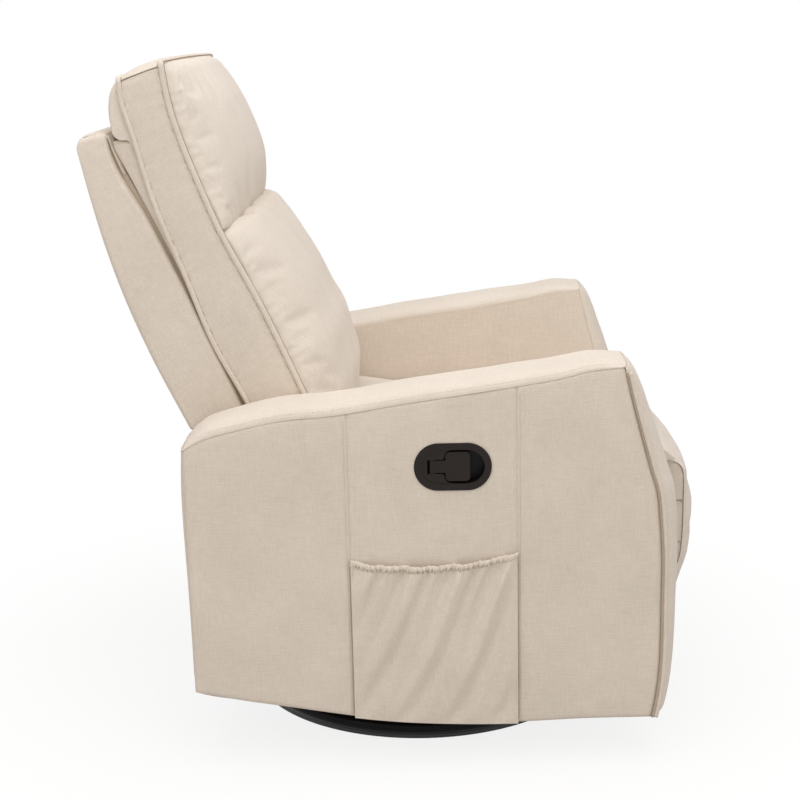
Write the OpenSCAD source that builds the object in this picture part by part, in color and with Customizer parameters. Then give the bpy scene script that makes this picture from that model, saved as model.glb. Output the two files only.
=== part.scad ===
// Swivel rocker recliner: a ring base, a ball-bearing swivel, a sprung rocker,
// a pull-handle leg rest on a double parallelogram, and a reclining back.
// Side profiles are written in (f, z): f runs forward from the swivel axis and
// z runs up from the floor. The chair faces -Y, and the handle is on the -X arm.

/* [Arms] */
// Half of the width over the outer faces of the arms
arm_out = 375; // [350:1:420]
// Thickness of an arm from its inner to its outer face
arm_t = 104; // [96:1:125]
// Length of an arm from its rear edge to its front piping
arm_d = 689; // [640:1:760]
// Height of an arm from its lowest point to its highest seam
arm_h = 538; // [510:1:600]
// Height of the arms' lowest point above the floor
arm_low = 68; // [60:1:90]
// Distance from the swivel axis back to the rear edge of the arms
arm_back = 336; // [320:1:370]
// Crown of the padding on top of an arm
top_crown = 19; // [8:1:30]
// Crown of the padding on the front of an arm
front_crown = 31; // [15:1:45]

/* [Seat] */
// Height of the seat springs' rails above the floor
rail_z = 402; // [395:1:420]
// Thickness of the seat cushion at its middle
seat_t = 58; // [45:1:80]
// Distance from the swivel axis to the front of the seat cushion
seat_front = 392; // [370:1:400]
// Distance from the swivel axis to the rear of the seat cushion
seat_rear = 205; // [180:1:215]

/* [Back] */
// Depth of the back from its rear edge to the front of its lumbar cushion
back_d = 400; // [360:1:440]
// Height of the back from its lower edge to the top of the pillow
back_h = 544; // [500:1:600]
// Height of the back's lower edge above the floor
back_low = 497; // [490:1:510]
// Distance from the swivel axis to the rearmost point of the back
back_rear = 480; // [460:1:500]
// Half of the back's width
back_half = 263; // [240:1:265]

/* [Leg rest] */
// Height of the leg rest board
leg_h = 275; // [240:1:290]
// Height of the board's lower edge above the floor when closed
leg_low = 150; // [140:1:160]
// Distance from the swivel axis to the rear face of the closed board
leg_f = 340; // [335:1:345]
// Gap between each end of the board and the arm beside it
leg_end_gap = 39; // [33:1:60]
// Thickness of the leg rest's padding at its middle
leg_pad_t = 104; // [60:1:120]
// Swing radius of the front links
link_r = 240.6; // [230:0.1:250]
// Distance between the pivots of the front and rear links
link_gap = 70; // [60:1:80]

/* [Base] */
// Radius of the base ring at the middle of its tube
ring_r = 277.5; // [240:0.5:290]
// Radius of the base ring's tube
ring_tube_r = 12.5; // [10:0.5:16]
// Thickness of the glide strip under the ring
glide_t = 4; // [3:0.5:8]
// Height of the rocking axis above the floor
rock_z = 90; // [88:1:96]

/* [Handle] */
// Length of the handle's housing
bezel_l = 111; // [100:1:125]
// Height of the handle's housing
bezel_h = 70; // [60:1:80]
// Distance from the swivel axis to the middle of the housing
bezel_f = 51.5; // [30:0.5:70]
// Height of the middle of the housing above the floor
bezel_z = 466; // [450:1:480]

/* [Hidden] */
$fn = 64;
// Overrun of every cut past the faces that it opens
over = 1;
// Radial clearance of a turning pin in its hole
run_clear = 0.08;
// Radial clearance of a fixed pin in its hole
fix_clear = 0.05;
// Gap between soft pieces and what carries them
soft_gap = 0.3;
// Side clearance between stacked plates that turn
side_gap = 0.5;

// Lateral places, counted outward from the chair's middle
cover_t = 8;
board_t = 14;
inner_cover_t = 6;
plate_t = 4;
arm_in = arm_out - arm_t;
board_out = arm_out - cover_t;
cavity_out = board_out - board_t;
board_in = arm_in + inner_cover_t;
cavity_in = board_in + board_t;
plate_x = arm_in - plate_t;
leg_half = arm_in - leg_end_gap;
layer_t = 4;
layer_step = 7;
layer_a = plate_x - 2 * layer_t;
layer_b = layer_a - layer_step;
layer_c = layer_b - layer_step;

// Arm outline, as shares of its length and height, from the lower rear corner round
arm_bottom_shares = [[0, 0.102], [0.097, 0.08], [0.225, 0.054], [0.344, 0.028], [0.44, 0.013],
  [0.569, 0.002], [0.7, 0], [0.829, 0.006], [0.983, 0.007]];
arm_front_shares = [[0.986, 0.026], [0.994, 0.093], [0.999, 0.173], [1, 0.24], [1, 0.357],
  [1, 0.455], [0.994, 0.584], [0.986, 0.667], [0.975, 0.712], [0.965, 0.758], [0.948, 0.838],
  [0.932, 0.916], [0.917, 1]];
arm_top_shares = [[0.852, 0.992], [0.784, 0.972], [0.695, 0.954], [0.579, 0.933], [0.456, 0.911],
  [0.312, 0.883], [0.209, 0.872], [0.126, 0.851], [0.042, 0.822], [0, 0.794]];
// Height of the front padding at each front point, and of the top padding at each top point
front_pad_shares = [0.7, 0.76, 0.79, 0.83, 0.87, 0.92, 1, 1, 0.99, 0.97, 0.88, 0.7, 0.3];
top_pad_shares = [0.3, 0.68, 0.85, 0.95, 1, 1, 0.95, 0.98, 0.98, 0.85, 0.45];
// Share of the full height that each padding keeps at its edges and near them
pad_edge_share = 0.2;
pad_near_share = 0.82;
pad_near = 16;

// Back outline tables, as pairs of a height share and a depth share
rear_edge_shares = [[0, 0.353], [0.208, 0.223], [0.393, 0.128], [0.585, 0.055], [0.774, 0]];
recess_shares = [[0, 0.585], [0.077, 0.545], [0.307, 0.413], [0.566, 0.25], [0.767, 0.118],
  [0.809, 0.108]];
rear_welt_shares = [[0, 0.62], [0.077, 0.573], [0.237, 0.463], [0.43, 0.368], [0.62, 0.273],
  [0.704, 0.23]];
front_welt_shares = [[0, 0.838], [0.011, 0.833], [0.101, 0.783], [0.346, 0.638], [0.555, 0.498],
  [0.662, 0.44]];
frame_top_shares = [[0.038, 0.8], [0.108, 0.809]];
cushion_rear_z_shares = [0.741, 0.566, 0.437, 0.307, 0.23, 0.154, 0.077, 0.006];
cushion_front_z_shares = [0.539, 0.487, 0.377, 0.3, 0.237, 0.16, 0.068, 0.011];
lumbar_front_shares = [[0.63, 0.586], [0.735, 0.487], [0.815, 0.377], [0.873, 0.3], [0.913, 0.237],
  [0.938, 0.16], [0.965, 0.068], [0.965, 0.011]];
pillow_seat_share = 0.787;
pillow_low_shares = [[0.213, 0.759], [0.28, 0.711], [0.35, 0.664], [0.413, 0.621],
  [0.463, 0.586], [0.505, 0.563], [0.545, 0.572]];
pillow_low_side_shares = [[0.213, 0.759], [0.28, 0.711], [0.35, 0.664], [0.413, 0.621],
  [0.443, 0.601], [0.468, 0.583], [0.488, 0.568]];
pillow_top_shares = [[0.11, 0.879], [0.085, 0.947], [0.233, 0.991], [0.373, 1], [0.468, 0.954],
  [0.545, 0.814], [0.588, 0.704], [0.593, 0.627]];
pillow_top_side_shares = [[0.13, 0.851], [0.165, 0.939], [0.238, 0.965], [0.318, 0.98],
  [0.34, 0.897], [0.395, 0.759], [0.45, 0.649], [0.498, 0.579]];
back_panel_t = 8;
side_panel_t = 10;
stile_t = 28;
back_rail_d = 25;
back_rail_h = 36;
back_rail_shares = [[0.066, 0.66], [0.244, 0.39], [0.455, 0.045]];

// Links and their places: closed, a front link points from its pivot along swing_share
swing_share = [-0.5715, -0.8209];
parallel_share = [0.8062, 0.5914];
pivot_f = 312.5;
pivot_z = 387.5;
front_pivot = [pivot_f, pivot_z];
reach = 186;
lower_arm = 60.2;
link_w = 16;
link_pin_r = 5;
link_pin_head_r = 7;
link_pin_head_t = 1.5;
rear_pivot = front_pivot - link_gap * parallel_share;
front_knee = front_pivot + link_r * swing_share;
rear_knee = rear_pivot + link_r * swing_share;
upper_end = front_knee + reach * parallel_share;
lower_knee = front_knee + lower_arm * swing_share;
lower_end = lower_knee + reach * parallel_share;
torque_r = 11;
torque_wall = 2;
board_leg_t = 15;
bracket_flange = 34;

// Back pivot
recline_f = -230;
recline_z = 440;
recline_pin_r = 6;
recline_boss_r = 16;

// Seat rails
rail_h = 30;
rail_d = 30;
front_rail_f = 295;
rear_rail_f = -200;
spring_wire = 4;
spring_rows = 4;
spring_half = 24;
spring_waves = 9;
seat_margin = 5;
seat_half = plate_x - seat_margin;

// Side plates
plate_low = 112;
plate_front_z = 370;
plate_foot = 100;
skirt_t = 12;
skirt_low = 118;
skirt_h = 285;

// Swivel and rocker
bar_t = 13;
bar_w = 40;
hub_r = 95;
hub_t = 5;
bar_z = glide_t + ring_tube_r - bar_t / 2;
hub_z = bar_z + bar_t;
race_in = 60;
race_out = 90;
ball_r = 4;
ball_count = 24;
ball_pitch_r = (race_in + race_out) / 2;
race_t = 6.5;
race_split = 3;
lower_race_z = hub_z + hub_t;
ball_z = lower_race_z + race_t + race_split / 2;
upper_race_z = lower_race_z + race_t + race_split;
yoke_z = upper_race_z + race_t;
yoke_t = 5;
yoke_half_x = 110;
yoke_half_f = 100;
post_r = 10;
washer_r = 24;
washer_t = 4;
shaft_r = 8;
ear_r = 18;
ear_t = 6;
ear_x = 100;
ear_foot = 40;
shaft_half = 112;
clip_t = 3.5;
clip_r = 13;
plate_over_axis = 22;
rocker_z = rock_z + plate_over_axis;
rocker_plate_t = 6;
rocker_half = 110;
angle_w = 30;
angle_t = 3;
angle_h = 25;
angle_f = 75;
coil_x = 60;
coil_f = 72;
coil_r = 18;
coil_wire_r = 2.5;
coil_turns = 5;

// Handle
bezel_rim = 10;
bezel_proud = 3.5;
cup_wall = 2.5;
cup_depth = 17;
stem_l = 24;
stem_h = 18;
stem_back = 21;
paddle_l = 35;
paddle_h = 43;
paddle_round = 6;
flap_t = 5;
flap_barrel_r = 5;
flap_pin_r = 2;
lug_h = 5;
cable_r = 2.5;
elbow_r = 3;
wire_r = 0.75;
wire_end_r = 1.2;
cable_hole_r = 5;
cable_inset = 31;
cable_low_f = 185;
cable_low_z = 362;
trip_pivot = [200, 312];
trip_l = 60;
trip_top = 30;
trip_boss_r = 9;
trip_nose_r = 5;

// Pocket on the outside of the handle arm
pocket_wall = 3;
pocket_room = 6;
pocket_seam = 6;
pocket_rear = -99;
pocket_front = 143;
pocket_side_z = 328;
pocket_mid_z = 309;
pocket_floor = 84;
hem_h = 9;
hem_t = 4.5;

// A profile in (f, z), extruded across the chair from x0 to x1
module slab(x0, x1) {
  translate([x1, 0, 0]) rotate([90, 0, -90]) linear_extrude(x1 - x0) children();
}

// A round bar across the chair at the profile point p, from x0 to x1
module rod(p, r, x0, x1) {
  translate([x0, -p[0], p[1]]) rotate([0, 90, 0]) cylinder(r = r, h = x1 - x0);
}

// The handle side of the chair, drawn on +X
module right() {
  mirror([1, 0, 0]) children();
}

module both() {
  children();
  mirror([1, 0, 0]) children();
}

// Points of the arm and of the back from their shares
function arm_points(shares) = [for (s = shares) [s[0] * arm_d - arm_back, s[1] * arm_h + arm_low]];
function back_point(s) = [s[0] * back_d - back_rear, s[1] * back_h + back_low];
function back_points(shares) = [for (s = shares) back_point(s)];
// A point on one of the back's tables at a height share, moved forward by a distance
function on_line(table, zs, ahead) = back_point([lookup(zs, table), zs]) + [ahead, 0];
function line_points(table, zs_list, ahead) = [for (zs = zs_list) on_line(table, zs, ahead)];
function reversed(list) = [for (i = [len(list) - 1 : -1 : 0]) list[i]];
function blend(a, b, t) = [for (i = [0 : len(a) - 1]) a[i] * (1 - t) + b[i] * t];
// Second row of a band, kept at a share of its distance from the first
function crowned(low, up, share) = blend(low, up, share);

// A closed soft body: rows low and up, one of each a station, at the places xs across the chair
module band(xs, lows, ups) {
  n = len(lows[0]);
  m = len(xs);
  points = [for (k = [0 : m - 1]) for (row = [lows[k], ups[k]]) for (p = row) [xs[k], -p[0], p[1]]];
  function low_i(k, i) = 2 * n * k + i;
  function up_i(k, i) = 2 * n * k + n + i;
  upper = [for (k = [0 : m - 2]) for (i = [0 : n - 2]) each [
    [up_i(k, i), up_i(k + 1, i), up_i(k + 1, i + 1)],
    [up_i(k, i), up_i(k + 1, i + 1), up_i(k, i + 1)]]];
  lower = [for (k = [0 : m - 2]) for (i = [0 : n - 2]) each [
    [low_i(k, i), low_i(k + 1, i + 1), low_i(k + 1, i)],
    [low_i(k, i), low_i(k, i + 1), low_i(k + 1, i + 1)]]];
  first = [for (k = [0 : m - 2]) each [
    [low_i(k, 0), low_i(k + 1, 0), up_i(k + 1, 0)],
    [low_i(k, 0), up_i(k + 1, 0), up_i(k, 0)]]];
  last = [for (k = [0 : m - 2]) each [
    [low_i(k, n - 1), up_i(k + 1, n - 1), low_i(k + 1, n - 1)],
    [low_i(k, n - 1), up_i(k, n - 1), up_i(k + 1, n - 1)]]];
  near = [for (i = [0 : n - 2]) each [
    [low_i(0, i), up_i(0, i + 1), low_i(0, i + 1)],
    [low_i(0, i), up_i(0, i), up_i(0, i + 1)]]];
  far = [for (i = [0 : n - 2]) each [
    [low_i(m - 1, i), low_i(m - 1, i + 1), up_i(m - 1, i + 1)],
    [low_i(m - 1, i), up_i(m - 1, i + 1), up_i(m - 1, i)]]];
  polyhedron(points, concat(upper, lower, first, last, near, far));
}

// A band that is the same on both sides of the chair's middle
module even_band(half_xs, lows, ups) {
  xs = concat([for (x = half_xs) -x], reversed(half_xs));
  band(xs, concat(lows, reversed(lows)), concat(ups, reversed(ups)));
}

// Base

module ring_tube(extra) {
  translate([0, 0, glide_t + ring_tube_r])
    rotate_extrude($fn = 96) translate([ring_r, 0]) circle(r = ring_tube_r + extra);
}

module base_ring() {
  color("#141414") ring_tube(0);
}

module floor_glide() {
  color("#202020") difference() {
    rotate_extrude($fn = 96) translate([ring_r - ring_tube_r * 0.6, 0])
      square([ring_tube_r * 1.2, glide_t + ring_tube_r * 0.2]);
    ring_tube(fix_clear);
  }
}

module base_crossbars() {
  bar_l = 2 * ring_r;
  color("#1a1a1a") difference() {
    union() {
      translate([-bar_l / 2, -bar_w / 2, bar_z]) cube([bar_l, bar_w, bar_t]);
      translate([-bar_w / 2, -bar_l / 2, bar_z]) cube([bar_w, bar_l, bar_t]);
      translate([0, 0, hub_z]) cylinder(r = hub_r, h = hub_t);
    }
    ring_tube(fix_clear);
    translate([0, 0, bar_z - over]) cylinder(r = post_r + fix_clear, h = bar_t + hub_t + 2 * over);
  }
}

module swivel_post() {
  collar_z = yoke_z + yoke_t + side_gap;
  color("#8a8c8e") union() {
    translate([0, 0, bar_z]) cylinder(r = post_r, h = collar_z - bar_z);
    translate([0, 0, collar_z]) cylinder(r = washer_r, h = washer_t);
  }
}

// One bearing race, cut by the balls' track
module race(z) {
  difference() {
    translate([0, 0, z]) difference() {
      cylinder(r = race_out, h = race_t);
      translate([0, 0, -over]) cylinder(r = race_in, h = race_t + 2 * over);
    }
    translate([0, 0, ball_z]) rotate_extrude() translate([ball_pitch_r, 0])
      circle(r = ball_r + run_clear);
  }
}

module bearing_lower_race() {
  color("#9a9c9e") race(lower_race_z);
}

module bearing_balls() {
  color("#c8cacc") for (i = [0 : ball_count - 1]) {
    rotate([0, 0, i * 360 / ball_count]) translate([ball_pitch_r, 0, ball_z]) sphere(r = ball_r, $fn = 32);
  }
}

module bearing_upper_race() {
  color("#9a9c9e") race(upper_race_z);
}

// Swivel and rocker

// An ear in profile: a foot at z0 that tapers to a round end about the rocking axis
module ear_profile(z0) {
  difference() {
    union() {
      translate([0, rock_z]) circle(r = ear_r);
      polygon([[-ear_foot, z0], [ear_foot, z0], [ear_r, rock_z], [-ear_r, rock_z]]);
    }
    translate([0, rock_z]) circle(r = shaft_r + run_clear);
  }
}

module swivel_yoke() {
  color("#242424") union() {
    difference() {
      translate([-yoke_half_x, -yoke_half_f, yoke_z])
        cube([2 * yoke_half_x, 2 * yoke_half_f, yoke_t]);
      translate([0, 0, yoke_z - over]) cylinder(r = post_r + run_clear, h = yoke_t + 2 * over);
    }
    both() slab(ear_x, ear_x + ear_t) ear_profile(yoke_z + yoke_t);
  }
}

module rocker_shaft() {
  color("#a0a2a4") rod([0, rock_z], shaft_r, -shaft_half, shaft_half);
}

module shaft_retainers() {
  color("#3a3a3a") both() difference() {
    rod([0, rock_z], clip_r, ear_x + ear_t + soft_gap, ear_x + ear_t + soft_gap + clip_t);
    rod([0, rock_z], shaft_r + fix_clear, ear_x + ear_t, ear_x + ear_t + clip_t + over);
  }
}

// A coil spring of coil_turns turns, as one unbroken wire of six sides
module coil_spring(z0, z1) {
  sides = 6;
  per_turn = 8;
  steps = coil_turns * per_turn;
  rise = (z1 - z0 - 2 * coil_wire_r) / steps;
  points = [for (i = [0 : steps]) for (j = [0 : sides - 1])
    let (turn = i * 360 / per_turn, angle = j * 360 / sides, r = coil_r + coil_wire_r * cos(angle))
    [r * cos(turn), r * sin(turn), z0 + coil_wire_r + i * rise + coil_wire_r * sin(angle)]];
  walls = [for (i = [0 : steps - 1]) for (j = [0 : sides - 1])
    let (a = i * sides + j, b = i * sides + (j + 1) % sides)
    each [[a, b, b + sides], [a, b + sides, a + sides]]];
  start = [for (j = [1 : sides - 2]) [0, j + 1, j]];
  finish = [for (j = [1 : sides - 2]) [steps * sides, steps * sides + j, steps * sides + j + 1]];
  echo(least_gap_in_coil = per_turn * rise - 2 * coil_wire_r);
  polyhedron(points, concat(walls, start, finish));
}

module rocker_spring_pair(f) {
  for (x = [-coil_x, coil_x]) translate([x, -f, 0])
    coil_spring(yoke_z + yoke_t + soft_gap, rocker_z - soft_gap);
}

module rocker_springs_front() {
  color("#6d6f72") rocker_spring_pair(coil_f);
}

module rocker_springs_rear() {
  color("#6d6f72") rocker_spring_pair(-coil_f);
}

module rocker_frame() {
  ear_in = ear_x - side_gap - ear_t;
  rail_top = rocker_z + rocker_plate_t;
  color("#242424") union() {
    translate([-rocker_half, -rocker_half, rocker_z])
      cube([2 * rocker_half, 2 * rocker_half, rocker_plate_t]);
    both() slab(ear_in, ear_in + ear_t) ear_profile(rocker_z);
    for (side = [-1, 1]) {
      translate([-plate_x, side * angle_f - angle_w / 2, rail_top]) cube([2 * plate_x, angle_w, angle_t]);
      translate([-plate_x, side * angle_f - angle_t / 2, rail_top])
        cube([2 * plate_x, angle_t, angle_h]);
    }
  }
}

// Chair body

module plate_profile(handle_side) {
  top = rail_z + link_w / 2;
  difference() {
    polygon([[-plate_foot, plate_low], [plate_foot, plate_low],
      [pivot_f + link_w, plate_front_z], [pivot_f + link_w, top], [rear_rail_f, top],
      [recline_f + recline_boss_r, recline_z + recline_boss_r],
      [recline_f - recline_boss_r, recline_z + recline_boss_r],
      [recline_f - 2 * recline_boss_r, recline_z], [recline_f - recline_boss_r, top]]);
    translate(front_pivot) circle(r = link_pin_r + fix_clear);
    translate(rear_pivot) circle(r = link_pin_r + fix_clear);
    translate([recline_f, recline_z]) circle(r = recline_pin_r + fix_clear);
    if (handle_side) {
      translate(trip_pivot) circle(r = link_pin_r + run_clear);
      translate([cable_low_f, cable_low_z]) circle(r = cable_hole_r);
    }
  }
}

module side_plate_right() {
  color("#3c3e40") right() slab(plate_x, arm_in) plate_profile(true);
}

module side_plate_left() {
  color("#3c3e40") slab(plate_x, arm_in) plate_profile(false);
}

module cross_rail(f) {
  translate([-plate_x, -f - rail_d, rail_z]) cube([2 * plate_x, rail_d, rail_h]);
}

module front_rail() {
  color("#b98d5a") cross_rail(front_rail_f);
}

module rear_rail() {
  color("#b98d5a") cross_rail(rear_rail_f);
}

// Zigzag seat springs that lie on the two rails
module seat_springs() {
  f0 = rear_rail_f + rail_d / 2;
  f1 = front_rail_f + rail_d / 2;
  per_wave = 8;
  steps = spring_waves * per_wave;
  row_step = 2 * plate_x / spring_rows;
  function wave(i, side) = [spring_half * sin(i * 360 / per_wave) + side * spring_wire
    * (0.5 + 0.5 * abs(cos(i * 360 / per_wave))), -(f0 + (f1 - f0) * i / steps)];
  outline = concat([for (i = [0 : steps]) wave(i, 0.5)], [for (i = [steps : -1 : 0]) wave(i, -0.5)]);
  color("#707376") for (row = [0 : spring_rows - 1]) {
    translate([row_step * (row + 0.5) - plate_x, 0, rail_z + rail_h])
      linear_extrude(spring_wire) polygon(outline);
  }
}

module seat_cushion() {
  z0 = rail_z + rail_h + spring_wire + soft_gap;
  depth = seat_front + seat_rear;
  f_shares = [0, 0.03, 0.2, 0.45, 0.7, 0.88, 0.96, 1];
  top_shares = [0.72, 0.9, 0.97, 1, 1, 0.98, 0.88, 0.6];
  side_shares = [0.62, 0.86, 0.97, 1];
  lift_shares = [0.22, 0.06, 0, 0];
  half_xs = [seat_half, seat_half * 0.965, seat_half * 0.85, seat_half * 0.3];
  low = [for (s = f_shares) [s * depth - seat_rear, z0]];
  up = [for (i = [0 : len(f_shares) - 1]) [f_shares[i] * depth - seat_rear, z0 + top_shares[i] * seat_t]];
  color("#e0d5c4") even_band(half_xs, [for (t = lift_shares) crowned(low, up, t)],
    [for (t = side_shares) crowned(low, up, t)]);
}

module rear_skirt() {
  half = arm_in - soft_gap;
  color("#cfc3b1") translate([-half, arm_back - skirt_t, skirt_low]) cube([2 * half, skirt_t, skirt_h]);
}

module link_pivot_pins() {
  color("#9fa1a3") both() {
    rod(rear_pivot, link_pin_r, layer_a - side_gap, arm_in);
    rod(rear_pivot, link_pin_head_r, layer_a - side_gap - link_pin_head_t, layer_a - side_gap);
    rod(front_pivot, link_pin_r, layer_a - side_gap, arm_in);
    rod(front_pivot, link_pin_head_r, layer_a - side_gap - link_pin_head_t, layer_a - side_gap);
  }
}

module back_pivot_bolts() {
  head_t = 5;
  inner = stile_out;
  spacer = inner + layer_t + side_gap;
  color("#9fa1a3") both() {
    rod([recline_f, recline_z], recline_pin_r, inner - side_gap, arm_in);
    rod([recline_f, recline_z], recline_pin_r + layer_t, inner - side_gap - head_t, inner - side_gap);
    rod([recline_f, recline_z], recline_pin_r + layer_t, spacer, plate_x);
  }
}

// Arms

module arm_outline() {
  polygon(arm_points(concat(arm_bottom_shares, arm_front_shares, arm_top_shares)));
}

module obround(l, h) {
  union() {
    square([l - h, h], center = true);
    for (side = [-1, 1]) translate([side * (l - h) / 2, 0]) circle(d = h);
  }
}

// The hole that the handle's cup goes through
module cup_hole() {
  inner_l = bezel_l - 2 * bezel_rim + 2 * cup_wall;
  inner_h = bezel_h - 2 * bezel_rim + 2 * cup_wall;
  translate([bezel_f, bezel_z]) obround(inner_l + 2 * soft_gap, inner_h + 2 * soft_gap);
}

module cable_hole() {
  translate([cable_low_f, cable_low_z]) circle(r = cable_hole_r);
}

// Rails and posts that hold an arm's two boards apart
module arm_rails() {
  rail_w = 28;
  front_post_share = 0.9;
  rear_post_shares = [0.12, 0.66];
  bottom = arm_points(arm_bottom_shares);
  top = concat([arm_points(arm_front_shares)[len(arm_front_shares) - 1]], arm_points(arm_top_shares));
  module bottom_rail() {
    polygon(concat(bottom, reversed([for (p = bottom) p + [0, rail_w]])));
  }
  module top_rail() {
    polygon(concat(top, reversed([for (p = top) p - [0, rail_w]])));
  }
  slab(cavity_in, cavity_out) {
    bottom_rail();
    top_rail();
    difference() {
      union() {
        translate([arm_d * front_post_share - arm_back - rail_w, arm_low + rail_w / 2])
          square([rail_w, arm_h - rail_w]);
        translate([-arm_back, arm_low + arm_h * rear_post_shares[0]])
          square([rail_w, arm_h * rear_post_shares[1]]);
      }
      bottom_rail();
      top_rail();
    }
  }
}

// Padding over the points of an outline, raised by rise along the direction dir
module strip_pad(points, shares, rise, dir) {
  low = [for (p = points) p + soft_gap * dir];
  up = [for (i = [0 : len(points) - 1]) low[i] + shares[i] * rise * dir];
  xs = [arm_in, arm_in + pad_near, (arm_in + arm_out) / 2, arm_out - pad_near, arm_out];
  keep = [pad_edge_share, pad_near_share, 1, pad_near_share, pad_edge_share];
  band(xs, [for (k = keep) low], [for (k = keep) crowned(low, up, k)]);
}

module top_pad() {
  corner = arm_points(arm_front_shares)[len(arm_front_shares) - 1];
  rear_to_front = reversed(concat([corner], arm_points(arm_top_shares)));
  strip_pad(rear_to_front, reversed(top_pad_shares), top_crown, [0, 1]);
}

module front_pad() {
  strip_pad(reversed(arm_points(arm_front_shares)), reversed(front_pad_shares), front_crown, [1, 0]);
}

module right_arm_outer_board() {
  color("#c79a63") right() slab(cavity_out, board_out) difference() {
    arm_outline();
    cup_hole();
  }
}

module right_arm_inner_board() {
  color("#c79a63") right() slab(board_in, cavity_in) difference() {
    arm_outline();
    cable_hole();
  }
}

module right_arm_rails() {
  color("#b98d5a") right() arm_rails();
}

module right_arm_outer_cover() {
  color("#d6cab8") right() slab(board_out, arm_out) difference() {
    arm_outline();
    cup_hole();
  }
}

module right_arm_inner_cover() {
  color("#d6cab8") right() slab(arm_in, board_in) difference() {
    arm_outline();
    cable_hole();
  }
}

module right_arm_top_pad() {
  color("#efe6d8") right() top_pad();
}

module right_arm_front_pad() {
  color("#e0d5c4") right() front_pad();
}

module left_arm_outer_board() {
  color("#c79a63") slab(cavity_out, board_out) arm_outline();
}

module left_arm_inner_board() {
  color("#c79a63") slab(board_in, cavity_in) arm_outline();
}

module left_arm_rails() {
  color("#b98d5a") arm_rails();
}

module left_arm_outer_cover() {
  color("#d6cab8") slab(board_out, arm_out) arm_outline();
}

module left_arm_inner_cover() {
  color("#d6cab8") slab(arm_in, board_in) arm_outline();
}

module left_arm_top_pad() {
  color("#efe6d8") top_pad();
}

module left_arm_front_pad() {
  color("#e0d5c4") front_pad();
}

// Handle and release

flap_x = arm_out + bezel_proud / 2 - flap_t;
cup_floor_x = arm_out - cup_depth;
stem_f = bezel_f - bezel_l / 2 + stem_back;
hinge_f = stem_f + flap_barrel_r;

module handle_bezel() {
  inner_l = bezel_l - 2 * bezel_rim;
  inner_h = bezel_h - 2 * bezel_rim;
  lug_z = stem_h / 2 + side_gap;
  color("#33292a") right() union() {
    slab(arm_out, arm_out + bezel_proud) translate([bezel_f, bezel_z]) difference() {
      obround(bezel_l, bezel_h);
      obround(inner_l, inner_h);
    }
    slab(cup_floor_x, arm_out) translate([bezel_f, bezel_z]) difference() {
      obround(inner_l + 2 * cup_wall, inner_h + 2 * cup_wall);
      obround(inner_l, inner_h);
    }
    slab(cup_floor_x - cup_wall, cup_floor_x) translate([bezel_f, bezel_z])
      obround(inner_l + 2 * cup_wall, inner_h + 2 * cup_wall);
    difference() {
      for (z = [bezel_z + lug_z, bezel_z - lug_z - lug_h]) {
        translate([cup_floor_x, -hinge_f - flap_barrel_r, z])
          cube([flap_x + flap_t - cup_floor_x, 2 * flap_barrel_r, lug_h]);
      }
      translate([flap_x, -hinge_f, bezel_z - lug_z - lug_h - over])
        cylinder(r = flap_pin_r + fix_clear, h = 2 * (lug_z + lug_h + over));
    }
  }
}

module flap_pin() {
  half = stem_h / 2 + side_gap + lug_h;
  color("#8a8c8e") right() translate([flap_x, -hinge_f, bezel_z - half])
    cylinder(r = flap_pin_r, h = 2 * half);
}

module handle_flap() {
  paddle_f = stem_f + stem_l;
  color("#2e2526") right() difference() {
    union() {
      translate([flap_x, -hinge_f, bezel_z - stem_h / 2]) cylinder(r = flap_barrel_r, h = stem_h);
      translate([flap_x, -paddle_f - over, bezel_z - stem_h / 2])
        cube([flap_t, stem_l - flap_barrel_r + over, stem_h]);
      slab(flap_x, flap_x + flap_t) translate([paddle_f, bezel_z - paddle_h / 2]) union() {
        translate([paddle_round, 0]) square([paddle_l - 2 * paddle_round, paddle_h]);
        translate([0, paddle_round]) square([paddle_l, paddle_h - 2 * paddle_round]);
        for (f = [paddle_round, paddle_l - paddle_round]) for (z = [paddle_round, paddle_h - paddle_round])
          translate([f, z]) circle(r = paddle_round);
      }
    }
    translate([flap_x, -hinge_f, bezel_z - stem_h])
      cylinder(r = flap_pin_r + run_clear, h = 2 * stem_h);
  }
}

// A straight run of round cable between two points
module run(a, b, r) {
  d = b - a;
  l = norm(d);
  translate(a) rotate([0, acos(d[2] / l), atan2(d[1], d[0])]) cylinder(r = r, h = l);
}

// Housing from the handle's cup, down inside the arm and in through the side plate, then the wire
module release_cable() {
  start = [cup_floor_x - cup_wall - soft_gap, -bezel_f, bezel_z];
  bend = [cavity_in + cable_inset, -bezel_f, bezel_z];
  low = [cavity_in + cable_inset, -cable_low_f, cable_low_z];
  lever_end = trip_pivot - trip_top * swing_share;
  wire_x = plate_x - layer_t / 2;
  wire_start = [wire_x, -cable_low_f, cable_low_z];
  wire_end = [wire_x, -lever_end[0], lever_end[1]];
  color("#101010") right() union() {
    run(start, bend, cable_r);
    translate(bend) sphere(r = elbow_r);
    run(bend, low, cable_r);
    translate(low) sphere(r = elbow_r);
    run(low, [plate_x + over, -cable_low_f, cable_low_z], cable_r);
    rod([cable_low_f, cable_low_z], cable_hole_r - fix_clear, plate_x, arm_in);
    run([arm_in, -cable_low_f, cable_low_z], wire_start, wire_r);
    translate(wire_start) sphere(r = wire_end_r);
    run(wire_start, wire_end, wire_r);
    translate(wire_end) sphere(r = wire_end_r);
  }
}

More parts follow.
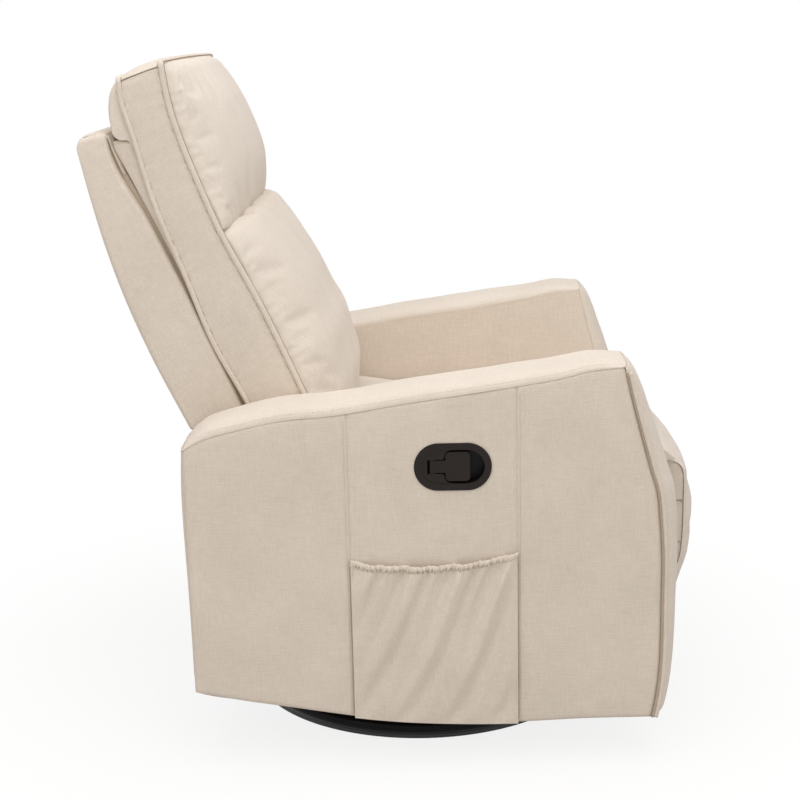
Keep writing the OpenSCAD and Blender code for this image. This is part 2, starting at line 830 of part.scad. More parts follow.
// Lever that kicks the rear link forward when the handle is pulled
module trip_lever() {
  nose = trip_pivot + trip_l * swing_share;
  top = trip_pivot - trip_top * swing_share;
  aside = [swing_share[1], -swing_share[0]];
  color("#55585a") right() union() {
    slab(layer_a, layer_a + layer_t) union() {
      translate(trip_pivot) circle(r = trip_boss_r);
      translate(nose) circle(r = trip_nose_r);
      translate(top) circle(r = trip_nose_r);
      polygon([nose + trip_nose_r * aside, top + trip_nose_r * aside,
        top - trip_nose_r * aside, nose - trip_nose_r * aside]);
    }
    rod(trip_pivot, link_pin_r, layer_a + layer_t, arm_in - soft_gap);
  }
}

// Pocket

pocket_x = arm_out + pocket_room;
pocket_mid_f = (pocket_rear + pocket_front) / 2;
// Height of the pocket's top edge at a place along it
function pocket_top(f) = pocket_mid_z + (pocket_side_z - pocket_mid_z)
  * pow(abs(f - pocket_mid_f) / (pocket_front - pocket_mid_f), 2);
pocket_steps = 10;
pocket_fs = [for (i = [0 : pocket_steps]) pocket_rear + (pocket_front - pocket_rear) * i / pocket_steps];

// Pocket profile from its floor to a distance below its top edge, drawn in at its ends
module pocket_profile(below, inset) {
  polygon(concat([[pocket_front - inset, pocket_floor + inset], [pocket_rear + inset, pocket_floor + inset]],
    [for (f = pocket_fs) [min(max(f, pocket_rear + inset), pocket_front - inset), pocket_top(f) - below]]));
}

module pocket_panel() {
  color("#cdc1af") right() union() {
    slab(pocket_x, pocket_x + pocket_wall) pocket_profile(hem_h, 0);
    slab(arm_out, pocket_x) difference() {
      pocket_profile(hem_h, 0);
      polygon(concat([[pocket_front - pocket_seam, pocket_floor + pocket_seam],
        [pocket_rear + pocket_seam, pocket_floor + pocket_seam]],
        [[pocket_rear + pocket_seam, pocket_side_z + over],
        [pocket_front - pocket_seam, pocket_side_z + over]]));
    }
  }
}

module pocket_hem() {
  color("#c6b9a6") right() slab(pocket_x - (hem_t - pocket_wall) / 2, pocket_x + hem_t) polygon(concat(
    [for (f = pocket_fs) [f, pocket_top(f)]],
    reversed([for (f = pocket_fs) [f, pocket_top(f) - hem_h]])));
}

// Back

rear_zs = [for (p = rear_edge_shares) p[0]];
recess_zs = [for (p = recess_shares) p[0]];
rear_edge = line_points(rear_edge_shares, rear_zs, 0);
recess_line = line_points(recess_shares, recess_zs, 0);
frame_top_points = back_points(frame_top_shares);
stile_out = back_half - side_panel_t - layer_t;

module back_frame_profile() {
  behind = [for (p = rear_edge) p + [back_panel_t, 0]];
  polygon(concat(behind, reversed(recess_line)));
}

module back_stiles() {
  color("#b98d5a") both() slab(stile_out - stile_t, stile_out) back_frame_profile();
}

module back_rails() {
  half = stile_out - stile_t;
  color("#b98d5a") slab(-half, half) for (s = back_rail_shares) {
    translate(back_point(s)) square([back_rail_d, back_rail_h]);
  }
}

module back_side_panels() {
  color("#d6cab8") both() slab(back_half - side_panel_t, back_half) back_frame_profile();
}

module back_rear_panel() {
  color("#d0c4b2") slab(-back_half, back_half) polygon(concat(rear_edge, [frame_top_points[0]],
    [frame_top_points[0] + [back_panel_t / 2, 0]], reversed([for (p = rear_edge) p + [back_panel_t, 0]])));
}

module back_brackets() {
  foot = [recline_f, recline_z];
  head = back_point([0.43, 0.19]);
  color("#3c3e40") both() slab(stile_out, stile_out + layer_t) difference() {
    union() {
      translate(foot) circle(r = recline_boss_r);
      polygon([foot + [-recline_boss_r, 0], foot + [recline_boss_r, 0],
        head + [recline_boss_r, 0], head - [recline_boss_r, 0]]);
    }
    translate(foot) circle(r = recline_pin_r + run_clear);
  }
}

module back_cushion() {
  low = line_points(recess_shares, cushion_rear_z_shares, soft_gap);
  low_side = line_points(rear_welt_shares, cushion_rear_z_shares, soft_gap);
  up = line_points(front_welt_shares, cushion_front_z_shares, -soft_gap);
  half = back_half - side_panel_t / 2;
  half_xs = [half, half * 0.93, half * 0.86, half * 0.4];
  draw_shares = [1, 0.4, 0, 0];
  color("#e0d5c4") even_band(half_xs, [for (t = draw_shares) blend(low, low_side, t)],
    [for (t = draw_shares) up]);
}

module lumbar_cushion() {
  low = line_points(front_welt_shares, cushion_front_z_shares, soft_gap / 2);
  up = back_points(lumbar_front_shares);
  half_xs = [back_half, back_half * 0.95, back_half * 0.8, back_half * 0.35];
  side_shares = [0.2, 0.62, 0.93, 1];
  color("#eadfce") even_band(half_xs, [for (t = side_shares) low],
    [for (t = side_shares) crowned(low, up, t)]);
}

module head_pillow() {
  seat = on_line(recess_shares, pillow_seat_share, soft_gap);
  low = concat([seat], back_points(pillow_low_shares));
  low_side = concat([seat], back_points(pillow_low_side_shares));
  up = back_points(pillow_top_shares);
  up_side = back_points(pillow_top_side_shares);
  half_xs = [back_half, back_half * 0.93, back_half * 0.78, back_half * 0.35];
  draw_shares = [1, 0.42, 0.1, 0];
  color("#eadfce") even_band(half_xs, [for (t = draw_shares) blend(low, low_side, t)],
    [for (t = draw_shares) blend(up, up_side, t)]);
}

// Leg rest

module footrest_board() {
  color("#c79a63") translate([-leg_half, -leg_f - board_leg_t, leg_low])
    cube([2 * leg_half, board_leg_t, leg_h]);
}

module footrest_pad() {
  under = 2;
  over_top = 13;
  beside = 8;
  pad_low = leg_low - under;
  pad_h = leg_h + under + over_top;
  f0 = leg_f + board_leg_t + soft_gap;
  z_shares = [0.98, 0.92, 0.79, 0.745, 0.7, 0.58, 0.486, 0.366, 0.21, 0.128, 0.02];
  rise_shares = [0.33, 0.545, 0.77, 0.79, 0.865, 0.94, 0.99, 1, 0.97, 0.865, 0.6];
  side_shares = [0.4, 0.76, 1, 1];
  low = [for (s = z_shares) [f0, pad_low + s * pad_h]];
  up = [for (i = [0 : len(z_shares) - 1]) low[i] + [rise_shares[i] * leg_pad_t, 0]];
  half = leg_half + beside;
  half_xs = [half, half * 0.95, half * 0.82, half * 0.35];
  color("#eadfce") even_band(half_xs, [for (t = side_shares) low],
    [for (t = side_shares) crowned(low, up, t)]);
}

module rivets(points, x0, x1, head_x) {
  for (p = points) {
    rod(p, link_pin_r, x0, x1);
    rod(p, link_pin_head_r, head_x, head_x + link_pin_head_t);
  }
}

module footrest_brackets() {
  flange_t = layer_t;
  flange_x = layer_c + layer_t - bracket_flange;
  top = upper_end + [0, link_w * 2];
  color("#3c3e40") both() union() {
    slab(layer_c, layer_c + layer_t) polygon([lower_end + [0, -link_w], lower_end + [-link_w / 2, 0],
      upper_end + [-link_w / 2, link_w / 2], [leg_f, top[1]], [leg_f, lower_end[1] - link_w]]);
    translate([flange_x, -leg_f, lower_end[1] - link_w])
      cube([bracket_flange, flange_t, top[1] - lower_end[1] + link_w]);
    rivets([upper_end, lower_end], layer_c + layer_t, layer_b + layer_t + side_gap,
      layer_b + layer_t + side_gap);
  }
}

// A flat link between two points, with a round end and a running hole at each point in holes
module link(a, b, x, holes) {
  d = (b - a) / norm(b - a) * link_w / 2;
  aside = [d[1], -d[0]];
  slab(x, x + layer_t) difference() {
    union() {
      translate(a) circle(d = link_w);
      translate(b) circle(d = link_w);
      polygon([a + aside, b + aside, b - aside, a - aside]);
    }
    for (p = holes) translate(p) circle(r = link_pin_r + run_clear);
  }
}

module front_links() {
  color("#55585a") both() union() {
    link(front_pivot, lower_knee, layer_a, [front_pivot]);
    rivets([front_knee, lower_knee], layer_b - side_gap, layer_a, layer_b - side_gap - link_pin_head_t);
  }
}

module torque_tube() {
  end = layer_a;
  color("#3c3e40") difference() {
    rod(front_pivot, torque_r, -end, end);
    rod(front_pivot, torque_r - torque_wall, -end - over, end + over);
  }
}

module rear_links() {
  color("#55585a") both() union() {
    link(rear_pivot, rear_knee, layer_a, [rear_pivot]);
    rivets([rear_knee], layer_b - side_gap, layer_a, layer_b - side_gap - link_pin_head_t);
  }
}

module upper_links() {
  color("#6a6d70") both() link(rear_knee, upper_end, layer_b, [rear_knee, front_knee, upper_end]);
}

module lower_links() {
  color("#6a6d70") both() link(lower_knee, lower_end, layer_b, [lower_knee, lower_end]);
}

base_ring();
floor_glide();
base_crossbars();
swivel_post();
bearing_lower_race();
bearing_balls();
bearing_upper_race();
swivel_yoke();
rocker_shaft();
shaft_retainers();
rocker_springs_front();
rocker_springs_rear();
rocker_frame();
side_plate_right();
side_plate_left();
front_rail();
rear_rail();
seat_springs();
seat_cushion();
rear_skirt();
link_pivot_pins();
back_pivot_bolts();
right_arm_outer_board();
right_arm_inner_board();
right_arm_rails();
right_arm_outer_cover();
right_arm_inner_cover();
right_arm_top_pad();
right_arm_front_pad();
left_arm_outer_board();
left_arm_inner_board();
left_arm_rails();
left_arm_outer_cover();
left_arm_inner_cover();
left_arm_top_pad();
left_arm_front_pad();
handle_bezel();
flap_pin();
release_cable();
pocket_panel();
pocket_hem();
handle_flap();
trip_lever();
back_stiles();
back_rails();
back_side_panels();
back_rear_panel();
back_brackets();
back_cushion();
head_pillow();
lumbar_cushion();
footrest_board();
footrest_pad();
footrest_brackets();
front_links();
torque_tube();
rear_links();
upper_links();
lower_links();
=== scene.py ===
import math

import bmesh
import bpy
import numpy as np
from mathutils import Matrix, Vector
from mathutils.kdtree import KDTree


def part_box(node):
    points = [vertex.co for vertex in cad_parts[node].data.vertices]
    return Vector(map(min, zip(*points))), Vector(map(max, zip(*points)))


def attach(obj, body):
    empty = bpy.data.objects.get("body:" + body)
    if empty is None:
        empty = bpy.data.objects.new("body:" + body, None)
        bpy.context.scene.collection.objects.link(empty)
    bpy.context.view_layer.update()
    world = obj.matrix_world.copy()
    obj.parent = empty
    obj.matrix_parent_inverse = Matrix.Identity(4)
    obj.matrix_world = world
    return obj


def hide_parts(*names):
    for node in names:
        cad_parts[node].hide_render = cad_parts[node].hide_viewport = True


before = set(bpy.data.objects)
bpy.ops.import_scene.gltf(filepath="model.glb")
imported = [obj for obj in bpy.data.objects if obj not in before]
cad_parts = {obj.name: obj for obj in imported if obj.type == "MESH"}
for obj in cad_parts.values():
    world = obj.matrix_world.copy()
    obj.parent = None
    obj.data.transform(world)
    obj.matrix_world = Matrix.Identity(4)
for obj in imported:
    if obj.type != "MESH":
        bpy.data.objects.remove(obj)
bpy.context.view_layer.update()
MM = 0.001

# Camera, found by matching the edges in the photograph
camera_place = Vector((-2.46076, -0.01756, 1.07814))
camera_aim = Vector((0, 0.02849, 0.47255))
camera_roll = math.radians(-1.35)
camera_lens = 68.54


def make_camera():
    ahead = (camera_aim - camera_place).normalized()
    right = ahead.cross(Vector((0, 0, 1))).normalized()
    up = right.cross(ahead)
    turned_right = math.cos(camera_roll) * right + math.sin(camera_roll) * up
    turned_up = math.cos(camera_roll) * up - math.sin(camera_roll) * right
    data = bpy.data.cameras.new("camera")
    data.lens = camera_lens
    data.clip_end = 100
    camera = bpy.data.objects.new("camera", data)
    bpy.context.scene.collection.objects.link(camera)
    turn = Matrix((turned_right, turned_up, -ahead)).transposed()
    camera.matrix_world = Matrix.Translation(camera_place) @ turn.to_4x4()
    bpy.context.scene.camera = camera


make_camera()

# Sizes taken from the CAD frame. Side profiles are in (f, z): f runs forward, which is -Y.
outer_low, outer_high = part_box("right_arm_outer_cover")
inner_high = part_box("right_arm_inner_cover")[1]
arm_out = -outer_low.x
arm_in = -inner_high.x
arm_rear = -outer_high.y
arm_d = outer_high.y - outer_low.y
arm_low = outer_low.z
arm_h = outer_high.z - outer_low.z
top_crown = (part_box("right_arm_top_pad")[1].z - outer_high.z) * 2.13
front_crown = -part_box("right_arm_front_pad")[0].y - (arm_rear + arm_d)
pocket_low, pocket_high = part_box("pocket_panel")
hem_low, hem_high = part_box("pocket_hem")
seam_rear = -pocket_high.y
seam_front = -pocket_low.y
back_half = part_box("back_rear_panel")[1].x
back_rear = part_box("back_rear_panel")[1].y
back_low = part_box("back_rear_panel")[0].z
back_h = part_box("head_pillow")[1].z - back_low
lumbar_share = 0.965
back_d = (back_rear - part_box("lumbar_cushion")[0].y) / lumbar_share

# Outlines, as shares of the sizes above
arm_bottom_shares = [[0, 0.099], [0.097, 0.075], [0.225, 0.0475], [0.344, 0.022], [0.44, 0.008],
                     [0.569, -0.001], [0.7, -0.002], [0.829, 0.004], [0.983, 0.006]]
arm_front_shares = [[0.983, 0.007], [0.986, 0.026], [0.994, 0.093], [0.999, 0.173], [1, 0.24],
                    [1, 0.357], [1, 0.455], [0.994, 0.584], [0.986, 0.667], [0.975, 0.712],
                    [0.965, 0.758], [0.948, 0.838], [0.932, 0.916], [0.917, 1]]
arm_top_shares = [[0, 0.794], [0.042, 0.822], [0.126, 0.851], [0.209, 0.872], [0.312, 0.883],
                  [0.456, 0.911], [0.579, 0.933], [0.695, 0.954], [0.784, 0.972], [0.852, 0.992],
                  [0.917, 1]]
front_pad_shares = [0.62, 0.7, 0.76, 0.79, 0.83, 0.87, 0.92, 1, 1, 1, 0.97, 0.89, 0.74, 0.42]
top_pad_shares = [0.45, 0.85, 0.98, 0.98, 0.95, 1, 1, 0.95, 0.85, 0.68, 0.42]
rear_edge_shares = [[0, 0.353], [0.208, 0.223], [0.393, 0.128], [0.585, 0.055], [0.774, 0]]
recess_shares = [[0, 0.585], [0.077, 0.545], [0.307, 0.413], [0.566, 0.25], [0.767, 0.118],
                 [0.809, 0.108]]
rear_welt_shares = [[0, 0.62], [0.077, 0.573], [0.237, 0.463], [0.43, 0.368], [0.62, 0.273],
                    [0.805, 0.208], [0.895, 0.175], [0.947, 0.17]]
front_welt_shares = [[0, 0.838], [0.011, 0.833], [0.101, 0.783], [0.346, 0.638], [0.555, 0.498],
                     [0.662, 0.44], [0.789, 0.378], [0.866, 0.348], [0.917, 0.335], [0.985, 0.323]]
lumbar_front_shares = [[0.53, 0.49], [0.562, 0.515], [0.59, 0.541], [0.6, 0.567], [0.588, 0.594],
                       [0.57, 0.618], [0.547, 0.645], [0.517, 0.68], [0.482, 0.715], [0.377, 0.803],
                       [0.3, 0.853], [0.237, 0.903], [0.16, 0.93], [0.068, 0.965], [0, 0.97],
                       [-0.04, 0.955]]
lumbar_side_top_shares = [[0.515, 0.44], [0.53, 0.462], [0.528, 0.49]]
pillow_front_shares = [[0.54, 0.49], [0.537, 0.53], [0.553, 0.562], [0.588, 0.587], [0.63, 0.598],
                       [0.676, 0.597], [0.765, 0.569], [0.866, 0.513], [0.951, 0.457],
                       [0.99, 0.405], [0.993, 0.345]]
pillow_side_low_shares = [[0.556, 0.455], [0.546, 0.475], [0.547, 0.5]]
pillow_rear_shares = [[0.958, 0.165], [0.96, 0.13], [0.938, 0.102], [0.895, 0.09], [0.845, 0.098],
                      [0.8, 0.135], [0.795, 0.18]]
pillow_rear_side_shares = [[0.94, 0.175], [0.92, 0.158], [0.895, 0.143], [0.865, 0.135], [0.83, 0.135],
                           [0.8, 0.142], [0.791, 0.16], [0.791, 0.19]]


def arm_points(shares):
    return [(s[0] * arm_d + arm_rear, s[1] * arm_h + arm_low) for s in shares]


def back_points(shares):
    return [(s[1] * back_d - back_rear, s[0] * back_h + back_low) for s in shares]


# Lines and grids

def smooth(points):
    """Many points on a smooth line through the given ones, with the length up to each."""
    p = np.array(points, float)
    d = np.r_[0, np.cumsum(np.linalg.norm(np.diff(p, axis=0), axis=1))]
    tangent = np.gradient(p, d, axis=0)
    t = np.linspace(0, d[-1], 30 * len(p))
    k = np.clip(np.searchsorted(d, t, side="right") - 1, 0, len(p) - 2)
    h = (d[k + 1] - d[k])[:, None]
    s = (t - d[k])[:, None] / h
    fine = (2 * s**3 - 3 * s**2 + 1) * p[k] + (s**3 - 2 * s**2 + s) * h * tangent[k]
    fine += (3 * s**2 - 2 * s**3) * p[k + 1] + (s**3 - s**2) * h * tangent[k + 1]
    return fine, np.r_[0, np.cumsum(np.linalg.norm(np.diff(fine, axis=0), axis=1))]


def along(points, shares):
    """Points at the given shares of the length of a smooth line."""
    fine, length = smooth(points)
    at = np.asarray(shares) * length[-1]
    return np.column_stack([np.interp(at, length, fine[:, i]) for i in range(fine.shape[1])])


def length_of(points):
    return smooth(points)[1][-1]


def between(points, f0, f1, shares):
    """Points of a line that runs forward, at even shares of f from f0 to f1."""
    fine = smooth(points)[0]
    f = f0 + (f1 - f0) * np.asarray(shares)
    return np.column_stack([f, np.interp(f, fine[:, 0], fine[:, 1])])


def spread(length, step=7, fine=(0, 0.5, 1.1, 2, 3.4, 5.5, 8.5, 12.5)):
    """Shares across a panel, closer together near both of its edges."""
    near = np.array(fine) * MM
    count = max(2, int((length - 2 * near[-1]) / (step * MM)) + 1)
    middle = np.linspace(near[-1], length - near[-1], count + 1)[1:-1]
    return np.concatenate([near, middle, (length - near)[::-1]]) / length


def coons(bottom, top, left, right, us, vs):
    """A grid of points that fills the four lines."""
    u = us[None, :, None]
    v = vs[:, None, None]
    low = (1 - u) * bottom[0] + u * bottom[-1]
    high = (1 - u) * top[0] + u * top[-1]
    ruled = (1 - v) * bottom[None] + v * top[None] + (1 - u) * left[:, None] + u * right[:, None]
    return ruled - (1 - v) * low - v * high


def place(points, x):
    """(f, z) points and their x as 3D points."""
    points = np.asarray(points)
    x = np.broadcast_to(x, points.shape[:-1])
    return np.stack([x, -points[..., 0], points[..., 1]], axis=-1)


# Meshes

def set_smooth(mesh, value=True):
    mesh.polygons.foreach_set("use_smooth", [value] * len(mesh.polygons))


def make_object(name, points, faces, material, body):
    mesh = bpy.data.meshes.new(name)
    mesh.from_pydata([tuple(p) for p in points], [], faces)
    mesh.validate()
    bm = bmesh.new()
    bm.from_mesh(mesh)
    bmesh.ops.recalc_face_normals(bm, faces=bm.faces)
    bm.to_mesh(mesh)
    bm.free()
    set_smooth(mesh)
    ob = bpy.data.objects.new(name, mesh)
    bpy.context.scene.collection.objects.link(ob)
    mesh.materials.append(material)
    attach(ob, body)
    return ob


def grid_faces(m, n, start=0):
    i, j = np.meshgrid(np.arange(m - 1), np.arange(n - 1), indexing="ij")
    a = (start + i * n + j).ravel()
    return np.column_stack([a, a + 1, a + n + 1, a + n]).tolist()


def rim_of(m, n):
    """Indices round the edge of a grid."""
    low = list(range(n))
    right = [i * n + n - 1 for i in range(1, m)]
    high = [(m - 1) * n + j for j in range(n - 2, -1, -1)]
    left = [i * n for i in range(m - 2, 0, -1)]
    return low + right + high + left


def ring_faces(rows, sides, start=0):
    """Faces of a tube whose points lie in rings, with a cap at each end."""
    faces = []
    for row in range(start, start + (rows - 1) * sides, sides):
        for a in range(sides):
            b = (a + 1) % sides
            faces.append([row + a, row + b, row + sides + b, row + sides + a])
    last = start + (rows - 1) * sides
    faces.append(list(range(start, start + sides))[::-1])
    faces.append(list(range(last, last + sides)))
    return faces


def sewn(name, front, back, material, body):
    """A closed piece from two grids of points that are joined round their edges."""
    m, n = front.shape[:2]
    faces = grid_faces(m, n)
    faces += [f[::-1] for f in grid_faces(m, n, m * n)]
    rim = rim_of(m, n)
    for a, b in zip(rim, rim[1:] + rim[:1]):
        faces.append([b, a, a + m * n, b + m * n])
    points = np.concatenate([front.reshape(-1, 3), back.reshape(-1, 3)])
    return make_object(name, points, faces, material, body)


def looped(name, loops, material, body):
    """A closed piece from closed loops of points, with a cap at each end."""
    ob = make_object(name, loops.reshape(-1, 3), ring_faces(*loops.shape[:2]), material, body)
    bm = bmesh.new()
    bm.from_mesh(ob.data)
    caps = [f for f in bm.faces if len(f.verts) > 4]
    bmesh.ops.triangulate(bm, faces=caps, ngon_method="EAR_CLIP")
    bm.to_mesh(ob.data)
    bm.free()
    set_smooth(ob.data)
    return ob


def tube(name, points, radius, material, body, sides=10):
    """A round cord along a line of 3D points, closed at its ends. radius may change along it."""
    p = np.asarray(points, float)
    n = len(p)
    radius = np.broadcast_to(radius, n)
    ahead = np.gradient(p, axis=0)
    ahead /= np.linalg.norm(ahead, axis=1)[:, None]
    aside = np.cross(ahead[0], (0.31, 0.42, 0.85))
    rings = []
    for i in range(n):
        aside = aside - ahead[i] * (aside @ ahead[i])
        aside /= np.linalg.norm(aside)
        other = np.cross(ahead[i], aside)
        a = np.arange(sides) * 2 * math.pi / sides
        rings.append(p[i] + radius[i] * (np.cos(a)[:, None] * aside + np.sin(a)[:, None] * other))
    return looped(name, np.array(rings), material, body)


def stitches(name, points, out, material, body, pitch=4.2, size=2.6, thick=0.42):
    """A row of thread stitches along a line of 3D points, raised in the direction out."""
    fine, length = smooth(points)
    count = int(length[-1] / (pitch * MM))
    out = np.broadcast_to(np.asarray(out, float), fine.shape)
    sides = 5
    verts = []
    faces = []
    for i in range(count):
        at = (i + 0.5) * pitch * MM + np.array([-0.5, -0.3, 0, 0.3, 0.5]) * size * MM
        p = np.column_stack([np.interp(at, length, fine[:, k]) for k in range(3)])
        up = np.array([np.interp(at[2], length, out[:, k]) for k in range(3)])
        up /= np.linalg.norm(up)
        ahead = p[-1] - p[0]
        ahead /= np.linalg.norm(ahead)
        aside = np.cross(ahead, up)
        start = len(verts)
        for k, wide in enumerate((0.35, 0.85, 1, 0.85, 0.35)):
            lift = (wide - 0.7) * thick * MM
            for a in np.arange(sides) * 2 * math.pi / sides:
                off = math.cos(a) * aside + math.sin(a) * up
                verts.append(p[k] + up * lift + off * thick * wide * MM)
        faces += ring_faces(len(p), sides, start)
    return make_object(name, verts, faces, material, body)


def ticks(name, lines, thick, material, body):
    """Short thin cords, one along each line of 3D points."""
    verts = []
    faces = []
    for line in lines:
        start = len(verts)
        for k, p in enumerate(line):
            wide = thick * (0.4 if k in (0, len(line) - 1) else 1)
            for x, y in ((1, 0), (0, 1), (-1, 0), (0, -1)):
                verts.append((p[0] + x * wide, p[1] + y * wide, p[2]))
        faces += ring_faces(len(line), 4, start)
    return make_object(name, verts, faces, material, body)


def coordinates(ob, kind="co"):
    """The points of a mesh, or their normals."""
    values = np.empty(len(ob.data.vertices) * 3)
    ob.data.vertices.foreach_get(kind, values)
    return values.reshape(-1, 3)


def set_coordinates(ob, co):
    ob.data.vertices.foreach_set("co", co.ravel())
    ob.data.update()


def apply_modifiers(ob):
    graph = bpy.context.evaluated_depsgraph_get()
    mesh = bpy.data.meshes.new_from_object(ob.evaluated_get(graph))
    ob.modifiers.clear()
    ob.data = mesh
    set_smooth(mesh)


def subdivide(ob):
    modifier = ob.modifiers.new("subdivide", "SUBSURF")
    modifier.levels = 1
    apply_modifiers(ob)


def bevel(ob, width, segments=3):
    """Softens the moulded edges of a piece."""
    modifier = ob.modifiers.new("edges", "BEVEL")
    modifier.width = width
    modifier.segments = segments
    modifier.limit_method = "ANGLE"
    modifier.angle_limit = math.radians(40)


def waves(s, seed, longest):
    """An uneven wave along a length, from 0 to 1, that is the same on each run."""
    total = 0
    for k in range(1, 6):
        rate = 2 * math.pi * (0.6 + 0.83 * k + 0.11 * math.sin(seed * 7.3 + k)) / longest
        total = total + np.sin(rate * s + seed * 1.7 + 2.1 * k) / (1 + 0.35 * k)
    return 0.5 + 0.5 * np.tanh(1.1 * total)


def pucker(ob, line, depth, reach, longest, seed):
    """Small pleats that run out from a sewn line and fade over reach. Depth and lengths in mm."""
    fine, length = smooth(line)
    step = max(1, int(len(fine) * 0.002 / length[-1]))
    picked = np.arange(0, len(fine), step)
    tree = KDTree(len(picked))
    for i, k in enumerate(picked):
        tree.insert(Vector(fine[k]), i)
    tree.balance()
    co = coordinates(ob)
    low = fine.min(0) - 3 * reach * MM
    high = fine.max(0) + 3 * reach * MM
    inside = np.nonzero(((co > low) & (co < high)).all(1))[0]
    move = np.zeros(len(co))
    for v in inside:
        _, i, d = tree.find(Vector(co[v]))
        if d < 3 * reach * MM:
            s = length[picked[i]]
            fade = math.exp(-d / (reach * MM)) * min(1, d / (1.5 * MM))
            move[v] = -depth * MM * fade * waves(s, seed, longest * MM)
    set_coordinates(ob, co + coordinates(ob, "normal") * move[:, None])


def simulate(ob, free, pressure, cap, slack, bend, frames=20):
    """Inflates a piece as cloth. free is 1 where a point may move and 0 where it is sewn down."""
    scene = bpy.context.scene
    start = coordinates(ob)
    group = ob.vertex_groups.new(name="pin")
    held = np.round(1 - np.asarray(free), 1)
    for level in np.unique(held):
        group.add(np.nonzero(held == level)[0].tolist(), float(level), "REPLACE")
    modifier = ob.modifiers.new("cloth", "CLOTH")
    settings = {"quality": 6, "mass": 0.3, "tension_stiffness": 15, "compression_stiffness": 8,
                "shear_stiffness": 5, "bending_stiffness": bend, "use_pressure": True,
                "uniform_pressure_force": pressure, "shrink_min": -slack, "vertex_group_mass": "pin"}
    for key, value in settings.items():
        setattr(modifier.settings, key, value)
    modifier.settings.effector_weights.gravity = 0
    modifier.collision_settings.use_collision = False
    modifier.point_cache.frame_start = 1
    modifier.point_cache.frame_end = frames
    for number in range(1, frames + 1):
        scene.frame_set(number)
    graph = bpy.context.evaluated_depsgraph_get()
    moved = coordinates(ob.evaluated_get(graph))
    ob.modifiers.clear()
    ob.vertex_groups.clear()
    scene.frame_set(1)
    step = moved - start
    length = np.linalg.norm(step, axis=1)
    step *= np.minimum(1, cap * MM / np.maximum(length, 1e-9))[:, None]
    set_coordinates(ob, start + step)


# Materials

class Tree:
    """The node tree of a material or of the world, with short ways to add to it."""

    def __init__(self, owner):
        owner.use_nodes = True
        self.nodes = owner.node_tree.nodes
        self.links = owner.node_tree.links

    def put(self, node, values):
        """Gives each named input of a node a value, or the output of another node."""
        for key, value in values.items():
            if isinstance(value, bpy.types.NodeSocket):
                self.links.new(value, node.inputs[key])
            else:
                node.inputs[key].default_value = value

    def add(self, kind, values=None, **settings):
        """Adds a node and returns its outputs."""
        node = self.nodes.new("ShaderNode" + kind)
        for key, value in settings.items():
            setattr(node, key, value)
        self.put(node, values or {})
        return node.outputs

    def maths(self, kind, *values):
        return self.add("Math", dict(enumerate(values)), operation=kind)[0]

    def noise(self, vector, scale, detail, rough, stretch=None):
        if stretch:
            vector = self.add("Mapping", {"Vector": vector, "Scale": stretch})["Vector"]
        values = {"Vector": vector, "Scale": scale, "Detail": detail, "Roughness": rough}
        return self.add("TexNoise", values)["Fac"]

    def ramp(self, share, colours, positions):
        node = self.nodes.new("ShaderNodeValToRGB")
        for element, colour, position in zip(node.color_ramp.elements, colours, positions):
            element.color = colour
            element.position = position
        self.put(node, {"Fac": share})
        return node.outputs["Color"]

    def bump(self, height, strength, distance):
        return self.add("Bump", {"Height": height, "Strength": strength, "Distance": distance})["Normal"]

    def direct(self):
        """1 for a ray that comes from the camera, also by way of a mirror or glass."""
        path = self.add("LightPath")
        seen = self.maths("ADD", path["Is Camera Ray"], path["Is Glossy Ray"])
        return self.maths("ADD", seen, path["Is Transmission Ray"])

    def show(self, share, plain, seen, output):
        """Joins two shaders at the named output node. share is that of the second."""
        both = self.add("MixShader", {"Fac": share, 1: plain, 2: seen})[0]
        self.put(self.nodes[output], {"Surface": both})


def new_material(name):
    material = bpy.data.materials.new(name)
    tree = Tree(material)
    return material, tree, tree.nodes["Principled BSDF"]


def linear(red, green, blue):
    """A colour written as sRGB numbers up to 255, as Blender takes it."""
    out = []
    for c in (red, green, blue):
        c = c / 255
        out.append(c / 12.92 if c <= 0.04045 else ((c + 0.055) / 1.055) ** 2.4)
    return (*out, 1)


def shades(colour, *factors):
    """Darker and lighter versions of a colour."""
    return [[c * k for c in colour[:3]] + [1] for k in factors]


